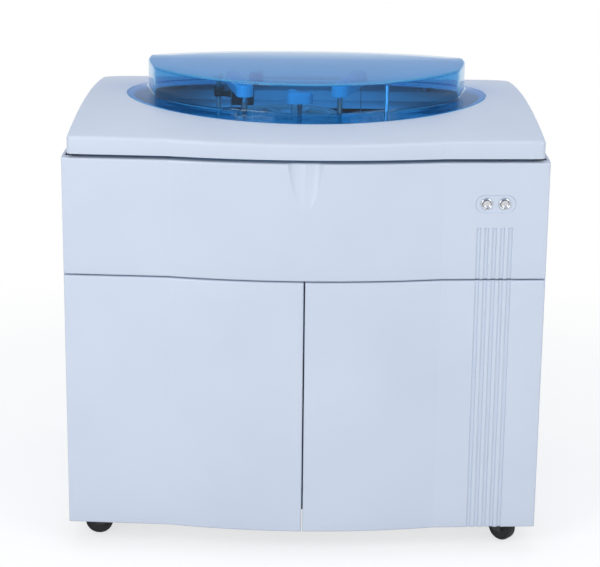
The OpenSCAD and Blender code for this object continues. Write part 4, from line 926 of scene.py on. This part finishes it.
# %% Lid shell
LID_WALL = 4 * MM
TOP_BEND = 6 * MM
FOOT_BEND = 5 * MM
DOME_RISE = HOOD_RISE * 0.78
DOME_ARCH_R = (BODY_D**2 / 4 + DOME_RISE**2) / (2 * DOME_RISE)


def lid_ring(reach, height):
    """Points at a distance on each ray, at the height that their depth gives them."""
    ring = []
    for t in LID_RAYS:
        x, y = reach(t) * math.cos(t), LID_MIDDLE + reach(t) * math.sin(t)
        ring.append((x, y, height(y)))
    return ring


def brim_height(depth):
    return lambda y: arch_z(y, hood_high.z - depth, ARCH_R - depth)


def top_height(depth):
    return lambda y: arch_z(y, lid_high.z - depth, DOME_ARCH_R - depth)


def lid_skin(inset):
    """Rings of one face of the lid, from the brim's edge to the middle of the top."""
    on_brim = brim_height(inset)
    on_top = top_height(inset)
    foot = FOOT_BEND + inset
    bend = TOP_BEND - inset
    rings = []
    for share in (0.0, 0.35, 0.7):
        rings.append(lid_ring(lambda t: (1 - share) * oval_reach(t, BRIM_A, BRIM_B, LID_Y)
                              + share * wall_reach(t, inset - foot), on_brim))
    for out, rise in quarter(foot, 5):
        rings.append(lid_ring(lambda t: wall_reach(t, inset - out), lambda y: on_brim(y) + rise))
    for into, drop in reversed(quarter(bend, 6)):
        rings.append(lid_ring(lambda t: wall_reach(t, inset + into), lambda y: on_top(y) - drop))
    for share in (0.85, 0.7, 0.5, 0.3, 0.12, 0.0005):
        rings.append(lid_ring(lambda t: share * wall_reach(t, inset + bend), on_top))
    return rings


lid_points, lid_faces = stack(lid_skin(0.0)[::-1] + lid_skin(LID_WALL))
print("lid shell:", len(lid_points), "points")

# %% [markdown]
# Two straps of the same sheet rise from the rear of the brim and end in a barrel round the hinge pin. Each
# is one profile seen from the side, repeated across its width, and a little smaller at both ends, which
# breaks the edges. They join the lid's mesh, because the lid is one piece of plastic.

# %% Lid hinge ears
LID_EAR_X = 120 * MM
LID_EAR_HALF = 11 * MM
BARREL_R = 5 * MM
STRAP_REACH = 27 * MM
STRAP_EDGE = 0.6 * MM


def lid_ears():
    block_low, block_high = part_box("lid_hinges")
    axis_y = (block_low.y + block_high.y) / 2
    axis_z = block_high.z - BARREL_R
    profile = [(-STRAP_REACH, -4.6 * MM), (0, -BARREL_R)]
    for t in [math.radians(degrees) for degrees in range(15, 271, 15)]:
        profile.append((BARREL_R * math.sin(t), -BARREL_R * math.cos(t)))
    profile += [(-BARREL_R - 1.5 * MM, 0.2 * MM), (-12 * MM, -1.4 * MM), (-STRAP_REACH, -2.2 * MM)]
    flank = LID_EAR_HALF - STRAP_EDGE
    across = ((-LID_EAR_HALF, STRAP_EDGE), (-flank, 0), (flank, 0), (LID_EAR_HALF, STRAP_EDGE))
    parts = []
    for side in (-1, 1):
        middle = side * LID_EAR_X
        rings = []
        for x, shrink in across:
            ring = drawn_in(profile, shrink)
            rings.append([(middle + x, axis_y + y, axis_z + z) for y, z in ring])
        parts.append(stack(rings))
    return parts


lid_mesh = joined((lid_points, lid_faces), *lid_ears())
piece("blue_lid_shell", *lid_mesh, blue_acrylic, "lid", "blue_clear", ["blue_lid"])

# %% [markdown]
# ## Push-buttons
# Two round metal buttons in rings with a rolled edge. Both are turned shapes, so a profile of a few
# points spun about the button's axis gives them exactly. The cap is slightly dished, with a raised rim.

# %% Bezels and caps
ZONE_ANGLE = math.atan(SIDE_FALL / (BODY_W / 2 - BOW_HALF))
BUTTON_PITCH = 38.5 * MM


def button_frame(side):
    """Local Z points out of the panel, from the bottom of the recess."""
    outward = Vector((math.sin(ZONE_ANGLE), -math.cos(ZONE_ANGLE), 0))
    along = Vector((math.cos(ZONE_ANGLE), math.sin(ZONE_ANGLE), 0))
    face_y = front_y(CONTROL_X)
    origin = Vector((CONTROL_X, face_y, RECESS_Z)) - outward * RECESS_DEPTH
    centre = origin + along * side * BUTTON_PITCH / 2
    turn = Matrix((along, Vector((0, 0, 1)), outward)).transposed().to_4x4()
    return Matrix.Translation(centre) @ turn


BEZEL = [(8.9, -10), (10.3, -10), (10.3, 0), (12.6, 0), (13, 0.5), (12.9, 1.6), (12.2, 2.7), (11.3, 3.3),
         (10.4, 3.4), (9.6, 3.0), (9.0, 2.2), (8.9, 1.4)]
CAP = [(0, -6.5), (8.4, -6.5), (8.4, 3.6), (8.2, 4.4), (7.6, 4.9), (6.9, 4.9), (6.3, 4.4), (4.5, 4.0),
       (0, 3.8)]
bezels = joined(*[placed(spun(BEZEL, torus=True), button_frame(side)) for side in (-1, 1)])
piece("button_bezel_rings", *bezels, chrome, "root", "chrome", ["button_bezels"])
for name, side in (("left_button", -1), ("right_button", 1)):
    cap = placed(spun(CAP), button_frame(side))
    piece(name + "_cap", *cap, chrome, name, "chrome", [name])

# %% [markdown]
# ## The arms under the lid
# The arm covers are glossy blue mouldings with generous edges. A soft slab over the plan of two circles
# and their tangents gives the taper, and the radius of its upper edge gives the highlight.

# %% Arm covers and the mixer's head
COVER_SHAFT_R = 19 * MM
COVER_TIP_R = 13 * MM
COVER_EDGE_R = 7 * MM
COVER_FOOT_R = 1 * MM
HEAD_HALF = 14 * MM
HEAD_LEFT_R, HEAD_RIGHT_R = 16 * MM, 15.9 * MM
NECK_SHAFT_R, NECK_TIP_R = 12 * MM, 10 * MM
NECK_EDGE_R = 4 * MM


def shaft_middle(node):
    low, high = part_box(node)
    return (low.x + high.x) / 2, (low.y + high.y) / 2


def arm_cover_piece(name, body, shaft, probe):
    low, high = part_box(name)
    outline = bar_outline(shaft_middle(shaft), shaft_middle(probe), COVER_SHAFT_R, COVER_TIP_R)
    cover = soft_slab(outline, low.z, high.z, COVER_EDGE_R, COVER_FOOT_R, 6)
    piece(name + "_moulding", *cover, cover_blue, body, "cover_blue", [name])


arm_cover_piece("sample_arm_cover", "sample_arm", "sample_arm_shaft", "sample_probe")
arm_cover_piece("reagent_arm_cover", "reagent_arm", "reagent_arm_shaft", "reagent_probe")

mixer_low, mixer_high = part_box("mixer_cover")
mixer_at = shaft_middle("mixer_shaft")
paddle_at = shaft_middle("mixer_paddle")
head_ends = [(mixer_at[0] + off, mixer_at[1]) for off in (-HEAD_HALF, HEAD_HALF)]
head_outline = bar_outline(*head_ends, HEAD_LEFT_R, HEAD_RIGHT_R)
head = soft_slab(head_outline, mixer_low.z, mixer_high.z, COVER_EDGE_R, COVER_FOOT_R, 6)
neck_outline = bar_outline(mixer_at, paddle_at, NECK_SHAFT_R, NECK_TIP_R)
neck = soft_slab(neck_outline, mixer_low.z, mixer_high.z - COVER_EDGE_R, NECK_EDGE_R, COVER_FOOT_R, 5)
piece("mixer_cover_moulding", *joined(head, neck), cover_blue, "mixer_arm", "cover_blue", ["mixer_cover"])

# %% [markdown]
# ## World, floor and lamps
# The world looks white to the camera, and to rays that come off metal or through glass, but it lights
# the object only softly. Above the horizon it turns to a bluish grey. The camera never looks up there,
# but the top of the lid mirrors it, and with plain white the lid would look frosted.

# %% World
AMBIENT = 0.45
UPPER_WALL_FROM = 0.10
UPPER_WALL_COLOUR = (0.46, 0.53, 0.70, 1)


def seen_directly(tree):
    """1 for rays from the camera, off glossy surfaces and through glass."""
    path = tree.nodes.new("ShaderNodeLightPath")
    factor = path.outputs["Is Camera Ray"]
    for kind in ("Is Glossy Ray", "Is Transmission Ray"):
        either = tree.nodes.new("ShaderNodeMath")
        either.operation = "MAXIMUM"
        tree.links.new(factor, either.inputs[0])
        tree.links.new(path.outputs[kind], either.inputs[1])
        factor = either.outputs["Value"]
    return factor


world = bpy.data.worlds.new("studio")
bpy.context.scene.world = world
world.use_nodes = True
world_tree = world.node_tree
ambient = world_tree.nodes["Background"]
ambient.inputs["Color"].default_value = (0.93, 0.96, 1.0, 1)
ambient.inputs["Strength"].default_value = AMBIENT
backdrop = world_tree.nodes.new("ShaderNodeBackground")
direction = world_tree.nodes.new("ShaderNodeTexCoord")
height = world_tree.nodes.new("ShaderNodeSeparateXYZ")
upper_wall = world_tree.nodes.new("ShaderNodeValToRGB")
upper_wall.color_ramp.elements[0].color = (1, 1, 1, 1)
upper_wall.color_ramp.elements[1].color = UPPER_WALL_COLOUR
upper_wall.color_ramp.elements[1].position = UPPER_WALL_FROM
world_tree.links.new(direction.outputs["Generated"], height.inputs["Vector"])
world_tree.links.new(height.outputs["Z"], upper_wall.inputs["Fac"])
world_tree.links.new(upper_wall.outputs["Color"], backdrop.inputs["Color"])
surroundings = mixed(world_tree, seen_directly(world_tree), ambient.outputs["Background"],
                     backdrop.outputs["Background"])
world_tree.links.new(surroundings, world_tree.nodes["World Output"].inputs["Surface"])
print("world strength", AMBIENT)

# %% [markdown]
# The floor is a dull grey to the lamps, so that it throws little light back. To the camera it's near
# white under the object, where it takes the shadow, and turns quite white further off.

# %% Floor
FLOOR_HALF = 9.0
HALO_FROM, HALO_TO = 0.8, 2.2
GREY_TO_LAMPS = (0.62, 0.64, 0.66, 1)
GREY_TO_CAMERA = (0.36, 0.37, 0.38, 1)
FLOOR_GLOW = 0.68
floor_mesh = bpy.data.meshes.new("floor")
floor_mesh.from_pydata([(-FLOOR_HALF, -FLOOR_HALF, 0), (FLOOR_HALF, -FLOOR_HALF, 0),
                        (FLOOR_HALF, FLOOR_HALF, 0), (-FLOOR_HALF, FLOOR_HALF, 0)], [], [(0, 1, 2, 3)])
floor = bpy.data.objects.new("floor", floor_mesh)
bpy.context.scene.collection.objects.link(floor)


def pale_floor():
    material, tree, plain, coords = shader("pale_floor")
    plain.inputs["Base Color"].default_value = GREY_TO_LAMPS
    plain.inputs["Roughness"].default_value = 0.9
    shaded = tree.nodes.new("ShaderNodeBsdfDiffuse")
    shaded.inputs["Color"].default_value = GREY_TO_CAMERA
    glow = tree.nodes.new("ShaderNodeEmission")
    glow.inputs["Strength"].default_value = FLOOR_GLOW
    lit = tree.nodes.new("ShaderNodeAddShader")
    tree.links.new(shaded.outputs["BSDF"], lit.inputs[0])
    tree.links.new(glow.outputs["Emission"], lit.inputs[1])
    white = tree.nodes.new("ShaderNodeEmission")
    distance = tree.nodes.new("ShaderNodeVectorMath")
    distance.operation = "LENGTH"
    tree.links.new(coords.outputs["Object"], distance.inputs[0])
    fading = tree.nodes.new("ShaderNodeMapRange")
    fading.interpolation_type = "SMOOTHSTEP"
    fading.inputs["From Min"].default_value = HALO_FROM
    fading.inputs["From Max"].default_value = HALO_TO
    tree.links.new(distance.outputs["Value"], fading.inputs["Value"])
    backdrop = mixed(tree, fading.outputs["Result"], lit.outputs["Shader"], white.outputs["Emission"])
    seen = mixed(tree, seen_directly(tree), plain.outputs["BSDF"], backdrop)
    tree.links.new(seen, tree.nodes["Material Output"].inputs["Surface"])
    return material


floor_mesh.materials.append(pale_floor())
print("floor", FLOOR_HALF * 2, "m wide")

# %% [markdown]
# Large area lamps stand for the studio's soft boxes: one from the upper left, a weaker one from the
# right, and one above for the top of the hood. The larger the lamp, the softer the highlight that runs
# along a rounded edge.

# %% Soft boxes
def soft_box(name, place, target, size, power):
    data = bpy.data.lights.new(name, "AREA")
    data.shape = "RECTANGLE"
    data.size, data.size_y = size
    data.energy = power
    lamp = bpy.data.objects.new(name, data)
    bpy.context.scene.collection.objects.link(lamp)
    lamp.location = place
    lamp.rotation_euler = (Vector(target) - Vector(place)).to_track_quat("-Z", "Y").to_euler()


soft_box("key", (-2.4, -3.6, 2.2), (0, 0, 0.6), (2.0, 2.0), 86)
soft_box("fill", (2.8, -3.0, 2.4), (0, 0, 0.6), (2.2, 2.2), 56)
soft_box("top", (0, 0.6, 3.4), (0, 0, 0.9), (2.6, 2.6), 24)
bpy.context.scene.view_settings.view_transform = "Standard"
print("lamps:", len(bpy.data.lights))
